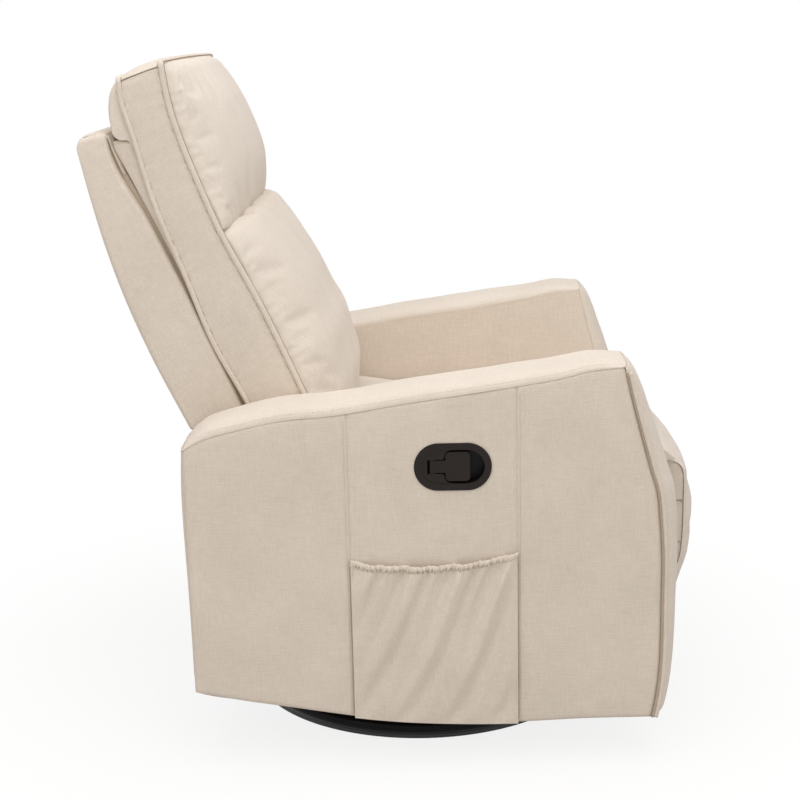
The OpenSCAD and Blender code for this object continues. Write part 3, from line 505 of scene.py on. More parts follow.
def fabric(name, colour, lean=0.0, contrast=0.5, bump=0.5, pitch=1.15):
    """Linen-look plain weave with uneven threads. lean turns the threads about the X axis."""
    material, tree, shader = new_material(name)
    at = tree.add("Mapping", {"Vector": tree.add("TexCoord")["Object"], "Rotation": (lean, 0, 0)})["Vector"]
    spans = [tree.noise(at, 1, 3, 0.6, stretch)
             for stretch in ((48, 560, 560), (560, 48, 560), (560, 560, 60))]
    threads = tree.maths("ADD", tree.maths("ADD", spans[0], spans[1]), spans[2])
    threads = tree.maths("DIVIDE", threads, 3)
    patches = tree.noise(at, 9, 3, 0.55)
    split = tree.add("SeparateXYZ", {0: at})
    rate = math.pi / (pitch * MM)
    wave = [tree.maths("SINE", tree.maths("MULTIPLY", split[i], rate)) for i in range(3)]
    weave = tree.maths("MULTIPLY", wave[1], wave[2])
    for other in wave[1:]:
        weave = tree.maths("MULTIPLY_ADD", wave[0], other, weave)
    shade = 0.5
    for part, share in ((tree.maths("SUBTRACT", threads, 0.5), 5),
                        (tree.maths("SUBTRACT", patches, 0.5), 1.4), (weave, 0.25)):
        shade = tree.maths("MULTIPLY_ADD", part, contrast * share, shade)
    dark, pale = shades(colour, 0.86, 1.12)
    dark[2] *= 0.97
    height = tree.maths("MULTIPLY_ADD", weave, 0.35, threads)
    tree.put(shader, {"Base Color": tree.ramp(shade, (dark, pale), (0, 1)),
                      "Normal": tree.bump(height, bump, 0.5 * MM),
                      "Roughness": tree.maths("MULTIPLY_ADD", threads, 0.12, 0.82),
                      "Specular IOR Level": 0.2, "Sheen Weight": 0.12, "Sheen Roughness": 0.5})
    return material


def hard(name, colour, rough, metal, grain, bump, stretch=None, vary=0.12, shine=0.5):
    """A paint, metal, plastic or wood surface with fine uneven colour, gloss and grain."""
    material, tree, shader = new_material(name)
    at = tree.add("TexCoord")["Object"]
    fine = tree.noise(at, grain, 4, 0.6, stretch)
    wide = tree.noise(at, 14, 3, 0.5)
    mixed = tree.maths("MULTIPLY_ADD", fine, 0.5, tree.maths("MULTIPLY", wide, 0.5))
    uneven = 0.25
    gloss = tree.maths("MULTIPLY_ADD", mixed, rough * uneven * 2, rough * (1 - uneven))
    tree.put(shader, {"Base Color": tree.ramp(mixed, shades(colour, 1 - vary, 1 + vary), (0.25, 0.75)),
                      "Roughness": gloss,
                      "Normal": tree.bump(fine, bump, 0.3 * MM), "Metallic": metal,
                      "Specular IOR Level": shine})
    return material


cream = linear(225, 212, 198)
back_lean = math.radians(24)
cloth = fabric("woven_cloth", cream)
back_cloth = fabric("woven_cloth_back", cream, back_lean)
light_cloth = fabric("woven_cloth_light", linear(227, 215, 202), back_lean, 0.4, 0.4)
elastic = fabric("elastic_cloth", linear(226, 213, 198), 0.0, 0.25, 0.5, 0.9)
# Darker copy of the cloth for the grooves by the arms' front welts and behind the back's side panels:
# painted shade.
shaded_cloth = fabric("woven_cloth_painted_shade", linear(186, 170, 152), back_lean, 0.4)
thread = hard("sewing_thread", linear(205, 192, 173), 0.75, 0.0, 900, 0.3)
# Dark colour for thin cords and ticks that stand for the shade along seams and in pleats: painted shade.
seam_shade = hard("seam_shade", linear(160, 144, 126), 0.85, 0.0, 900, 0.2, shine=0.1)

# Colour in sRGB, roughness, metal, grain and bump, and what differs from the usual
hard_looks = {
    "gloss_black_steel": ((11, 10, 10), 0.27, 0.0, 700, 0.02, {"shine": 0.1}),
    "black_steel": ((26, 26, 28), 0.42, 0.0, 500, 0.08, {}),
    "mechanism_steel": ((98, 100, 103), 0.36, 0.9, 420, 0.06, {}),
    "zinc_steel": ((186, 186, 180), 0.3, 1.0, 300, 0.05, {}),
    "polished_steel": ((205, 206, 208), 0.14, 1.0, 600, 0.02, {}),
    "spring_steel": ((92, 93, 95), 0.38, 0.9, 500, 0.06, {}),
    "hardwood": ((196, 158, 112), 0.62, 0.0, 1, 0.25, {"stretch": (9, 160, 160), "vary": 0.2}),
    "plywood": ((206, 172, 128), 0.6, 0.0, 1, 0.2, {"stretch": (160, 14, 90), "vary": 0.16}),
    "handle_plastic": ((35, 28, 24), 0.45, 0.0, 1600, 0.16, {"shine": 0.22}),
    "cable_jacket": ((22, 22, 23), 0.5, 0.0, 900, 0.1, {}),
    "glide_plastic": ((30, 30, 31), 0.55, 0.0, 600, 0.12, {}),
}
slots = {name: hard(name, linear(*look[0]), *look[1:5], **look[5]) for name, look in hard_looks.items()}


def cup_shaded_plastic():
    """The handle's plastic, with painted shade that darkens it deeper in the finger cup."""
    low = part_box("handle_bezel")[0]
    material = slots["handle_plastic"].copy()
    material.name = "handle_plastic_painted_cup_shade"
    tree = Tree(material)
    split = tree.add("SeparateXYZ", {0: tree.add("TexCoord")["Object"]})
    # Painted shade: the colour goes towards black deeper in the cup.
    depth = tree.add("MapRange", {"From Min": low.x + 2.5 * MM, "From Max": low.x + 12 * MM, "To Min": 1,
                                  "To Max": 0.22, "Value": split[0]}, interpolation_type="SMOOTHSTEP")
    paint = tree.nodes["Color Ramp"].outputs["Color"]
    mixed = tree.add("Mix", {0: depth["Result"], 6: (0, 0, 0, 1), 7: paint}, data_type="RGBA")
    tree.put(tree.nodes["Principled BSDF"], {"Base Color": mixed[2]})
    return material


def paint_frame():
    """Gives every CAD node that shows the material of its slot."""
    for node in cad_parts.values():
        slot = node.data.materials[0].name.split(".")[0] if node.data.materials else ""
        node.data.materials.clear()
        node.data.materials.append(slots.get(slot, cloth))
    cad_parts["handle_bezel"].data.materials[0] = cup_shaded_plastic()


# Arms

def swell(near, kinds, puff, groove, roll):
    """How far a panel stands out, from the distances to its edges. An edge is a seam or a roll."""
    slope = 32 * MM
    sharp = 1.1 * MM
    wide = 4 * MM
    out = puff
    for d in near:
        out = out * (1 - np.exp(-d / slope))
    for d, kind in zip(near, kinds):
        if kind == "seam":
            out = out - groove * np.exp(-d / sharp) - 0.5 * groove * np.exp(-d / wide)
        elif kind == "roll":
            inside = np.clip(roll - d, 0, roll)
            out = out - (roll - np.sqrt(roll**2 - inside**2))
    return out


def panel_grid(bottom, top, left, right, us, vs, kinds, puff, groove=1.3 * MM, roll=7 * MM):
    """(f, z) points of a padded panel between four lines, and how far each stands out."""
    grid = coons(bottom, top, left, right, us, vs)
    wide = np.linalg.norm(bottom[-1] - bottom[0])
    tall = np.linalg.norm(left[-1] - left[0])
    u = np.broadcast_to(us[None, :], grid.shape[:2])
    v = np.broadcast_to(vs[:, None], grid.shape[:2])
    near = [u * wide, (1 - u) * wide, v * tall, (1 - v) * tall]
    return grid, swell(near, kinds, puff, groove, roll)


def ripple(grid, size, seed):
    """Slow unevenness of stretched cloth over (f, z) points."""
    f = grid[..., 0]
    z = grid[..., 1]
    total = np.sin(31 * f + 12 * z + seed) + 0.7 * np.sin(17 * f - 41 * z + 2 * seed)
    total = total + 0.5 * np.sin(67 * f + 23 * z + 3 * seed) + 0.4 * np.sin(48 * z - 59 * f)
    return size * total


def arm_panel(f0, f1, step, rows, kinds, puff):
    """A panel of an arm's side from f0 forward to f1, or to the arm's front edge where f1 is None."""
    bottom = arm_points(arm_bottom_shares)
    top = arm_points(arm_top_shares)
    face = arm_points(arm_front_shares)
    low_end = face[0][0] if f1 is None else f1
    high_end = top[-1][0] if f1 is None else f1
    us = spread(low_end - f0, step)
    low = between(bottom, f0, low_end, us)
    high = between(top, f0, high_end, us)
    left = low[0] + rows[:, None] * (high[0] - low[0])
    right = low[-1] + rows[:, None] * (high[-1] - low[-1])
    if f1 is None:
        right = along(face, rows)
        right[0] = low[-1]
        right[-1] = high[-1]
    grid, off = panel_grid(low, high, left, right, us, rows, kinds, puff)
    return grid, off, us


def arm_outer_grid():
    """(f, z) points and the offset of an arm's outer panel, with its two upright seams."""
    rows = spread(arm_h, 9)
    puff = 2.2 * MM
    rear = arm_panel(arm_rear, seam_rear, 9, rows, ("roll", "seam", "roll", "seam"), puff)
    middle = arm_panel(seam_rear, seam_front, 6, rows, ("seam", "seam", "roll", "seam"), puff)
    front = arm_panel(seam_front, None, 8, rows, ("seam", "seam", "roll", "seam"), puff)
    edge = (1 - front[2])[None, :] * (arm_points(arm_front_shares)[0][0] - seam_front)
    groove = 2.6 * MM * np.exp(-(edge / (3.4 * MM)) ** 2)
    grid = np.concatenate([rear[0], middle[0][:, 1:], front[0][:, 1:]], axis=1)
    off = np.concatenate([rear[1], middle[1][:, 1:], (front[1] - groove)[:, 1:]], axis=1)
    return grid, off + ripple(grid, 0.25 * MM, 1.3)


def arm_inner_grid():
    """The same for the panel on the sitter's side, which has no upright seams."""
    kinds = ("roll", "seam", "roll", "flush")
    grid, off, _ = arm_panel(arm_rear, None, 12, spread(arm_h, 12), kinds, 2.5 * MM)
    return grid, off + ripple(grid, 0.3 * MM, 4.1)


def cut_obround(ob, length, height, f, z, x, depth):
    """Cuts an upright slot with round ends through a piece."""
    steps = 24
    ring = []
    for side in (1, -1):
        for a in np.linspace(-90, 90, steps):
            turn = math.radians(a)
            ring.append((f + side * ((length - height) / 2 + math.cos(turn) * height / 2),
                         z + side * math.sin(turn) * height / 2))
    loops = np.array([place(np.array(ring), x - depth), place(np.array(ring), x + depth)])
    cutter = looped("cutter", loops, cloth, "chair")
    modifier = ob.modifiers.new("cut", "BOOLEAN")
    modifier.object = cutter
    modifier.operation = "DIFFERENCE"
    modifier.solver = "EXACT"
    apply_modifiers(ob)
    bpy.data.objects.remove(cutter)


def crown_section(count=33, flat=3.2, full=2.2):
    """Places across a stuffed strip from -1 to 1, and the share of its height at each."""
    a = np.linspace(-math.pi / 2, math.pi / 2, count)
    across = np.sign(np.sin(a)) * np.abs(np.sin(a)) ** (2 / flat)
    return across, np.abs(np.cos(a)) ** (2 / full)


def strip(base, ways, crowns, x0, x1, section):
    """Upper and lower grids of a stuffed strip over a line in (f, z), between x0 and x1."""
    across, height = section
    x = (x0 + x1) / 2 + across * (x1 - x0) / 2
    up = base[:, None] + ways[:, None] * (crowns[:, None] * height[None])[..., None]
    low = np.broadcast_to((base - ways * 0.5 * MM)[:, None], up.shape)
    xs = np.broadcast_to(x[None], up.shape[:2])
    return place(up, xs), place(low, xs)


def rounded(at, reach):
    """Shares of a strip's height that rise as a quarter circle over reach."""
    return np.sqrt(1 - (1 - np.clip(at / reach, 0, 1)) ** 2)


def dipped(left):
    """Shares of an arm pad's height, lower at the seam where top and front pad meet."""
    return 1 - 0.22 * np.exp(-left / (2.5 * MM))


def outward(base, turn=1):
    """Directions square to a line in (f, z)."""
    step = np.gradient(base, axis=0)
    ways = turn * np.column_stack([step[:, 1], -step[:, 0]])
    return ways / np.linalg.norm(ways, axis=1)[:, None]


def turn_ways(lengths, total, way, corner_way, reach):
    """Directions along a line that turn to corner_way near its end."""
    t = np.clip((lengths - total + reach) / reach, 0, 1)
    t = t * t * (3 - 2 * t)
    ways = (1 - t)[:, None] * np.array(way) + t[:, None] * np.array(corner_way)
    return ways / np.linalg.norm(ways, axis=1)[:, None]


def side_name(side):
    return "right" if side < 0 else "left"


def stitch_on(grid, inset):
    """Points on a grid at a distance inset from its first column, measured over the surface."""
    steps = np.linalg.norm(np.diff(grid, axis=1), axis=2)
    over = np.concatenate([np.zeros((len(grid), 1)), np.cumsum(steps, axis=1)], axis=1)
    line = []
    for row, d in zip(grid, over):
        k = int(np.searchsorted(d, inset))
        t = (inset - d[k - 1]) / (d[k] - d[k - 1])
        line.append(row[k - 1] * (1 - t) + row[k] * t)
    return np.array(line)


def arm_pad(side, which, base, ways, crowns, section):
    """The stuffed strip on the top or the front of an arm. Returns its outer grid."""
    name = side_name(side) + "_arm_" + which
    up, low = strip(base, ways, np.maximum(crowns, 0), side * arm_out, side * arm_in, section)
    pad = sewn(name + "_fabric", up, low, light_cloth, "chair")
    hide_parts(name + "_pad")
    return up


def build_arm(side):
    name = side_name(side)
    corner_way = (0.75, 0.66)
    outer_deep = 7.5 * MM
    inner_deep = 5.5 * MM
    grid, off = arm_outer_grid()
    front = place(grid, side * (arm_out + off))
    back = place(grid, side * (arm_out - outer_deep))
    outer = sewn(name + "_arm_outer_fabric", front, back, cloth, "chair")
    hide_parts(name + "_arm_outer_cover")
    if side < 0:
        bezel_low, bezel_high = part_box("handle_bezel")
        under_rim = 14 * MM
        hole_h = (bezel_high.z - bezel_low.z) - under_rim
        hole_l = (bezel_high.y - bezel_low.y) - under_rim
        cut_obround(outer, hole_l, hole_h, -(bezel_low.y + bezel_high.y) / 2,
                    (bezel_low.z + bezel_high.z) / 2, -arm_out, 40 * MM)
    grid, off = arm_inner_grid()
    front = place(grid, side * (arm_in - off))
    back = place(grid, side * (arm_in + inner_deep))
    inner = sewn(name + "_arm_inner_fabric", front, back, cloth, "chair")
    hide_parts(name + "_arm_inner_cover")

    top = arm_points(arm_top_shares)
    total = length_of(top)
    shares = np.linspace(0, 1, 130)
    base = along(top, shares)
    at = shares * total
    crowns = top_crown * np.interp(base[:, 0], [p[0] for p in top], top_pad_shares)
    crowns = crowns * rounded(at, 18 * MM)
    crowns = crowns * dipped(total - at)
    crowns = crowns + ripple(base, 0.35 * MM, 2 + side) * np.clip(at / (30 * MM), 0, 1)
    ways = turn_ways(at, total, (0, 1), corner_way, 45 * MM)
    up = arm_pad(side, "top", base, ways, crowns, crown_section())
    seam = stitch_on(up[4:-1], 8 * MM)
    stitches(name + "_arm_top_stitches", seam, np.array([side * 0.8, 0, 0.6]), thread, "chair")

    face = arm_points(arm_front_shares)
    total = length_of(face)
    shares = np.linspace(0, 1, 120)
    base = along(face, shares)
    at = shares * total
    crowns = front_crown * np.interp(base[:, 1], [p[1] for p in face], front_pad_shares)
    crowns = crowns * rounded(at, 14 * MM)
    corner_crown = top_crown * top_pad_shares[-1]
    blend_in = np.clip((at - total + 21 * MM) / (21 * MM), 0, 1) ** 2
    crowns = crowns * (1 - blend_in) + corner_crown * blend_in
    crowns = crowns * dipped(total - at)
    ways = turn_ways(at, total, (1, 0), corner_way, 60 * MM)
    arm_pad(side, "front", base, ways, crowns, crown_section(33, 3.0, 2.0))
    welt = place(along(face, np.linspace(0.004, 0.985, 160)), side * (arm_out + 0.2 * MM))
    # A darker cord beside the welt stands for the shade in the groove there: painted shade.
    groove_shade_line = welt - (0, 0.7 * MM, 0)
    welt[:, 1] -= 5.2 * MM
    tube(name + "_arm_front_welt", welt, 3.2 * MM, cloth, "chair")
    tube(name + "_arm_front_fold", groove_shade_line, np.linspace(2.3, 1.3, 160) * MM, shaded_cloth, "chair")

    # Cloth over the arm's rear end and underside
    turn = arm_bottom_shares[0]
    path = arm_points([[0, arm_top_shares[0][1] + 0.004], [0, 0.6], [0, 0.4], [0, 0.2],
                       [0, turn[1] + 0.06], [0.0018, turn[1] + 0.028], [0.0055, turn[1] + 0.008],
                       [0.012, turn[1] - 0.003], [0.026, turn[1] - 0.008]] + arm_bottom_shares[1:])
    base = along(path, np.linspace(0, 1, 160))
    roll = 6.4 * MM
    rise = np.clip((base[:, 1] - arm_low) / (arm_top_shares[0][1] * arm_h), 0, 1)
    crowns = MM + 4.2 * MM * np.sin(math.pi * rise**3)
    up, low = strip(base, outward(base), crowns, side * (arm_out - roll), side * (arm_in + roll),
                    crown_section(21, 14, 2))
    sewn(name + "_arm_wrap_fabric", up, low, cloth, "chair")

    for f, step in ((seam_rear, -4.6 * MM), (seam_front, 4.6 * MM)):
        low = between(arm_points(arm_bottom_shares), f + step - MM, f + step, [1])[0]
        high = between(arm_points(arm_top_shares), f + step - MM, f + step, [1])[0]
        line = np.array([low + (high - low) * t for t in np.linspace(0.012, 0.985, 40)])
        points = place(line, side * (arm_out + 0.55 * MM))
        stitches(name + "_arm_seam_stitches_" + ("rear" if step < 0 else "front"), points,
                 (side, 0, 0), thread, "chair")


# Face of the handle's housing, with a slot for the flap

def build_handle_face():
    low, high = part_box("handle_bezel")
    middle = ((-low.y - high.y) / 2, (low.z + high.z) / 2)
    half_l = (high.y - low.y) / 2
    half_h = (high.z - low.z) / 2
    rim = 9 * MM
    end_r = half_h - rim
    outer = [(8 * MM, end_r)]
    for a in np.linspace(90, 270, 40):
        turn = math.radians(a)
        outer.append((-(half_l - rim - end_r) + end_r * math.cos(turn), end_r * math.sin(turn)))
    outer.append((8 * MM, -end_r))
    slot_shares = [(0.14, 0.715), (-0.05, 0.7), (-0.14, 0.65), (-0.2, 0.54), (-0.215, 0.39), (-0.24, 0.315),
                   (-0.29, 0.3), (-0.655, 0.3)]
    slot = [(s[0] * half_l, s[1] * half_h) for s in slot_shares]
    inner = [(p[0], -p[1]) for p in slot] + slot[::-1]
    ring = np.array(outer + inner) + middle
    top = low.x + 1.0 * MM
    points = np.concatenate([place(ring, top), place(ring, top + 2.4 * MM)])
    n = len(ring)
    faces = [list(range(n)), [n + k for k in range(n)][::-1]]
    faces += [[k, n + k, n + (k + 1) % n, (k + 1) % n] for k in range(n)]
    face = make_object("handle_face_plate", points, faces, slots["handle_plastic"], "chair")
    set_smooth(face.data, False)
    bevel(face, 0.5 * MM, 2)


# Pocket on the handle arm

pocket_top_shares = [[0, 1.02], [0.108, 0.82], [0.29, 0.71], [0.47, 0.7], [0.654, 0.79], [0.83, 0.99],
                     [1, 1.3]]


def pocket_top(f):
    fine = smooth(pocket_top_shares)[0]
    u = (f - seam_rear) / (seam_front - seam_rear)
    return hem_low.z + np.interp(u, fine[:, 0], fine[:, 1]) * (hem_high.z - hem_low.z)


def pocket_floor(f):
    fine = smooth(arm_points(arm_bottom_shares))[0]
    return np.interp(f, fine[:, 0], fine[:, 1]) + MM


def pocket_out(f, z):
    """How far the pocket's cloth stands off the arm."""
    u = (f - seam_rear) / (seam_front - seam_rear)
    top = pocket_top(f)
    v = np.clip((top - z) / (top - pocket_floor(f)), 0, 1)
    belly = 7.5 * MM * np.sin(math.pi * np.clip(u, 0, 1)) ** 0.55 * (1 - v) ** 0.8
    belly = belly + 2.2 * MM * np.sin(math.pi * np.clip(u, 0, 1)) * np.sin(math.pi * v)
    slant = 0.9 * f - 0.42 * (z - top)
    slant = slant + 4 * MM * np.sin(z * 20 + f * 9 + 1)
    slow = np.sin(slant * 2 * math.pi / (62 * MM) + 0.4 + 2 * v)
    folds = np.sin(slant * 2 * math.pi / (33 * MM) + 0.6 + 1.5 * u)
    fine = np.sin(slant * 2 * math.pi / (17 * MM) + 2.2 + 3 * u)
    gone = 1 - np.exp(-v / 0.03)
    wide = (4.2 * slow * (0.4 + 0.6 * np.exp(-v / 0.7)) + 4.6 * folds * np.exp(-v / 0.6)) * gone
    wide = wide + 2.2 * fine * np.exp(-v / 0.2) * gone
    edges = np.clip(np.minimum(u, 1 - u) / 0.09, 0, 1)
    gathers = np.sin(f * 2 * math.pi / (8.3 * MM) + 1.5 * np.sin(f * 90)) * np.exp(-v / 0.07)
    floor = np.clip((1 - v) / 0.08, 0, 1)
    return 2.6 * MM + belly + (wide + 1.6 * gathers) * MM * edges * floor


def build_pocket():
    stand = 1.2 * MM
    us = spread(seam_front - seam_rear, 2.6, (0, 0.8, 2, 4))
    vs = spread(pocket_high.z - pocket_low.z, 3.2, (0, 0.8, 2, 4))
    f = seam_rear + (seam_front - seam_rear) * us
    hem_h = hem_high.z - pocket_high.z
    top = pocket_top(f) - hem_h * 0.7
    bottom = pocket_floor(f)
    z = bottom[None] + (top - bottom)[None] * vs[:, None]
    grid = np.stack([np.broadcast_to(f, z.shape), z], axis=-1)
    off = pocket_out(grid[..., 0], grid[..., 1])
    front = place(grid, -(arm_out + stand + off))
    back = place(grid, -(arm_out + 0.2 * MM + off))
    panel = sewn("pocket_fabric", front, back, cloth, "chair")
    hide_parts("pocket_panel")
    count = 520
    hem_r = 2.8 * MM
    pleat_r = 3.1 * MM
    lean_share = 0.35
    f = np.linspace(seam_rear, seam_front, count)
    z = pocket_top(f) - hem_h / 2
    ribs = np.sin(f * 2 * math.pi / (4.6 * MM) + 2.4 * np.sin(f * 61) + 1.2 * np.sin(f * 143))
    ribs = ribs * (0.6 + 0.4 * np.sin(f * 47 + 1))
    off = pocket_out(f, pocket_top(f) - hem_h * 0.7)
    rings = []
    sides = 14
    for i in range(count):
        ring = []
        for a in np.arange(sides) * 2 * math.pi / sides:
            lean = lean_share * (math.sin(a) * hem_h / 2)
            swell_share = 1 + (0.04 + 0.22 * (math.sin(a) < 0.1)) * ribs[i]
            ring.append((-(arm_out + stand + off[i] + math.cos(a) * hem_r * swell_share),
                         -(f[i] + lean), z[i] + math.sin(a) * hem_h * 0.58 * (0.97 + 0.03 * ribs[i])))
        rings.append(ring)
    hem = looped("pocket_hem_fabric", np.array(rings), elastic, "chair")
    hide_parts("pocket_hem")
    # Dark ticks round the hem in its pleats stand for the shade in them: painted shade.
    pleat_shade_lines = []
    place_f = seam_rear + 9 * MM
    k = 0
    while place_f < seam_front - 24 * MM:
        i = int((place_f - seam_rear) / (seam_front - seam_rear) * (count - 1))
        low_a = -0.7 - 0.5 * abs(math.sin(1.7 * k + 0.4))
        line = []
        for a in np.linspace(0.1, low_a, 5):
            line.append((-(arm_out + stand + off[i] + math.cos(a) * pleat_r),
                         -(f[i] + lean_share * math.sin(a) * hem_h / 2), z[i] + math.sin(a) * hem_h * 0.59))
        pleat_shade_lines.append(line)
        place_f += (4.2 + 1.6 * math.sin(2.3 * k)) * MM
        k += 1
    ticks("pocket_hem_pleat_shade", pleat_shade_lines, 0.45 * MM, seam_shade, "chair")
    for f0, step in ((seam_rear, 3.2 * MM), (seam_front, -3.2 * MM)):
        low_z = float(pocket_floor(f0)) + 4 * MM
        line = np.array([(f0 + step, z) for z in np.linspace(low_z, hem_high.z - hem_h, 30)])
        points = place(line, -(arm_out + 3.9 * MM))
        stitches("pocket_side_stitches_" + ("rear" if step > 0 else "front"), points, (-1, 0, 0),
                 thread, "chair")


# Back

def at_height(shares, z_shares):
    """Back points on an outline table at the given height shares."""
    table = sorted((s[0], s[1]) for s in shares)
    f = np.interp(z_shares, [t[0] for t in table], [t[1] for t in table])
    return np.array(back_points(np.column_stack([z_shares, f]).tolist()))


def build_back_frame():
    left = back_points(rear_edge_shares)
    right = back_points(recess_shares)
    top = back_points([[0.774, 0], [0.793, 0.013], [0.802, 0.04], [0.809, 0.108]])
    rows = spread(length_of(left), 9)
    us = spread(135 * MM, 8)
    low = along([left[0], ((left[0][0] + right[0][0]) / 2, left[0][1]), right[0]], us)
    high = along(top, us)
    side_left = along(left, rows)
    side_right = along(right, rows)
    kinds = ("roll", "roll", "seam", "roll")
    grid, off = panel_grid(low, high, side_left, side_right, us, rows, kinds, 3.2 * MM)
    off = off + ripple(grid, 0.4 * MM, 0.4)
    deep = 9.5 * MM
    for side in (-1, 1):
        front = place(grid, side * (back_half + off))
        back = place(grid, side * (back_half - deep))
        panel = sewn(side_name(side) + "_back_side_fabric", front, back, back_cloth, "back")
    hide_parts("back_side_panels")
    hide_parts("back_side_panels")
    over = [[0.68, 0.0275], [0.74, 0.0098], [0.767, 0.003], [0.782, 0.0065], [0.794, 0.0145],
            [0.802, 0.032], [0.806, 0.06], [0.807, 0.09], [0.8, 0.112], [0.77, 0.127], [0.7, 0.165]]
    path = back_points(rear_edge_shares[:-1] + over)
    base = along(path, spread(length_of(path), 9))
    roll = 6.4 * MM
    up, low = strip(base, outward(base, -1), np.full(len(base), 2.2 * MM), roll - back_half,
                    back_half - roll, crown_section(61, 24, 2))
    panel = sewn("back_rear_fabric", up, low, back_cloth, "back")
    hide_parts("back_rear_panel")

    # Cloth round the front edge of each side of the frame, a darker lining in each groove as painted shade,
    # and a flap over the opening under the back
    base = along(back_points(recess_shares), np.linspace(0, 1, 60))
    ways = outward(base)
    edge_wide = 48 * MM
    for side in (-1, 1):
        up, low = strip(base - ways * MM, ways, np.full(len(base), 1.5 * MM), side * (back_half - roll),
                        side * (back_half - edge_wide), crown_section(15, 14, 2))
        sewn(side_name(side) + "_back_edge_fabric", up, low, back_cloth, "back")
        # The lining in each groove is darker cloth that stands for the groove's shade: painted shade.
        line = along(back_points(recess_shares), np.linspace(0, 0.99, 60))
        grid = np.stack([line + (d * MM, 0) for d in (-8, -2, 4, 10)], axis=1)
        sewn(side_name(side) + "_back_groove_fabric", place(grid, side * (back_half - 10.6 * MM)),
             place(grid, side * (back_half - 12.4 * MM)), shaded_cloth, "back")
    skirt_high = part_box("rear_skirt")[1].z
    top = back_points([rear_edge_shares[0]])[0]
    overlap = 8 * MM
    tucked = 6 * MM
    forward = 30 * MM
    thick = 1.6 * MM
    count = 16
    drop = top[1] - skirt_high + overlap
    t = np.linspace(0, 1, count)
    line = np.column_stack([top[0] + 3 * MM + forward * t, top[1] + tucked - (drop + tucked) * t])
    line[:, 0] += 2 * MM * np.sin(np.linspace(0, math.pi, count))
    ways = np.tile([-0.94, -0.34], (count, 1))
    up, low = strip(line, ways, np.full(count, thick), -back_half + 3 * MM, back_half - 3 * MM,
                    crown_section(41, 40, 2))
    flap = sewn("back_low_flap", up, low, cloth, "back")
    length_of(line)


def welt_line(points, half, radius, rise, sides=90, corner=14, across=80):
    """A welt that runs up one side of the back, over its top and down the other side."""
    total = length_of(points)
    reach = radius / total
    up = along(points, np.linspace(0, 1 - reach, sides))
    line = [(-half, -p[0], p[1]) for p in up]
    for a in np.linspace(0, math.pi / 2, corner)[1:]:
        p = along(points, [1 - reach * (1 - math.sin(a))])[0]
        line.append((-half + radius * (1 - math.cos(a)), -p[0], p[1]))
    end = along(points, [1])[0]
    for x in np.linspace(-half + radius, half - radius, across)[1:-1]:
        lift = rise * (1 - (x / half) ** 2) - rise * (1 - ((half - radius) / half) ** 2)
        line.append((x, -end[0], end[1] + lift))
    mirror = [(-p[0], p[1], p[2]) for p in line[:sides + corner - 1][::-1]]
    return np.array(line + mirror)


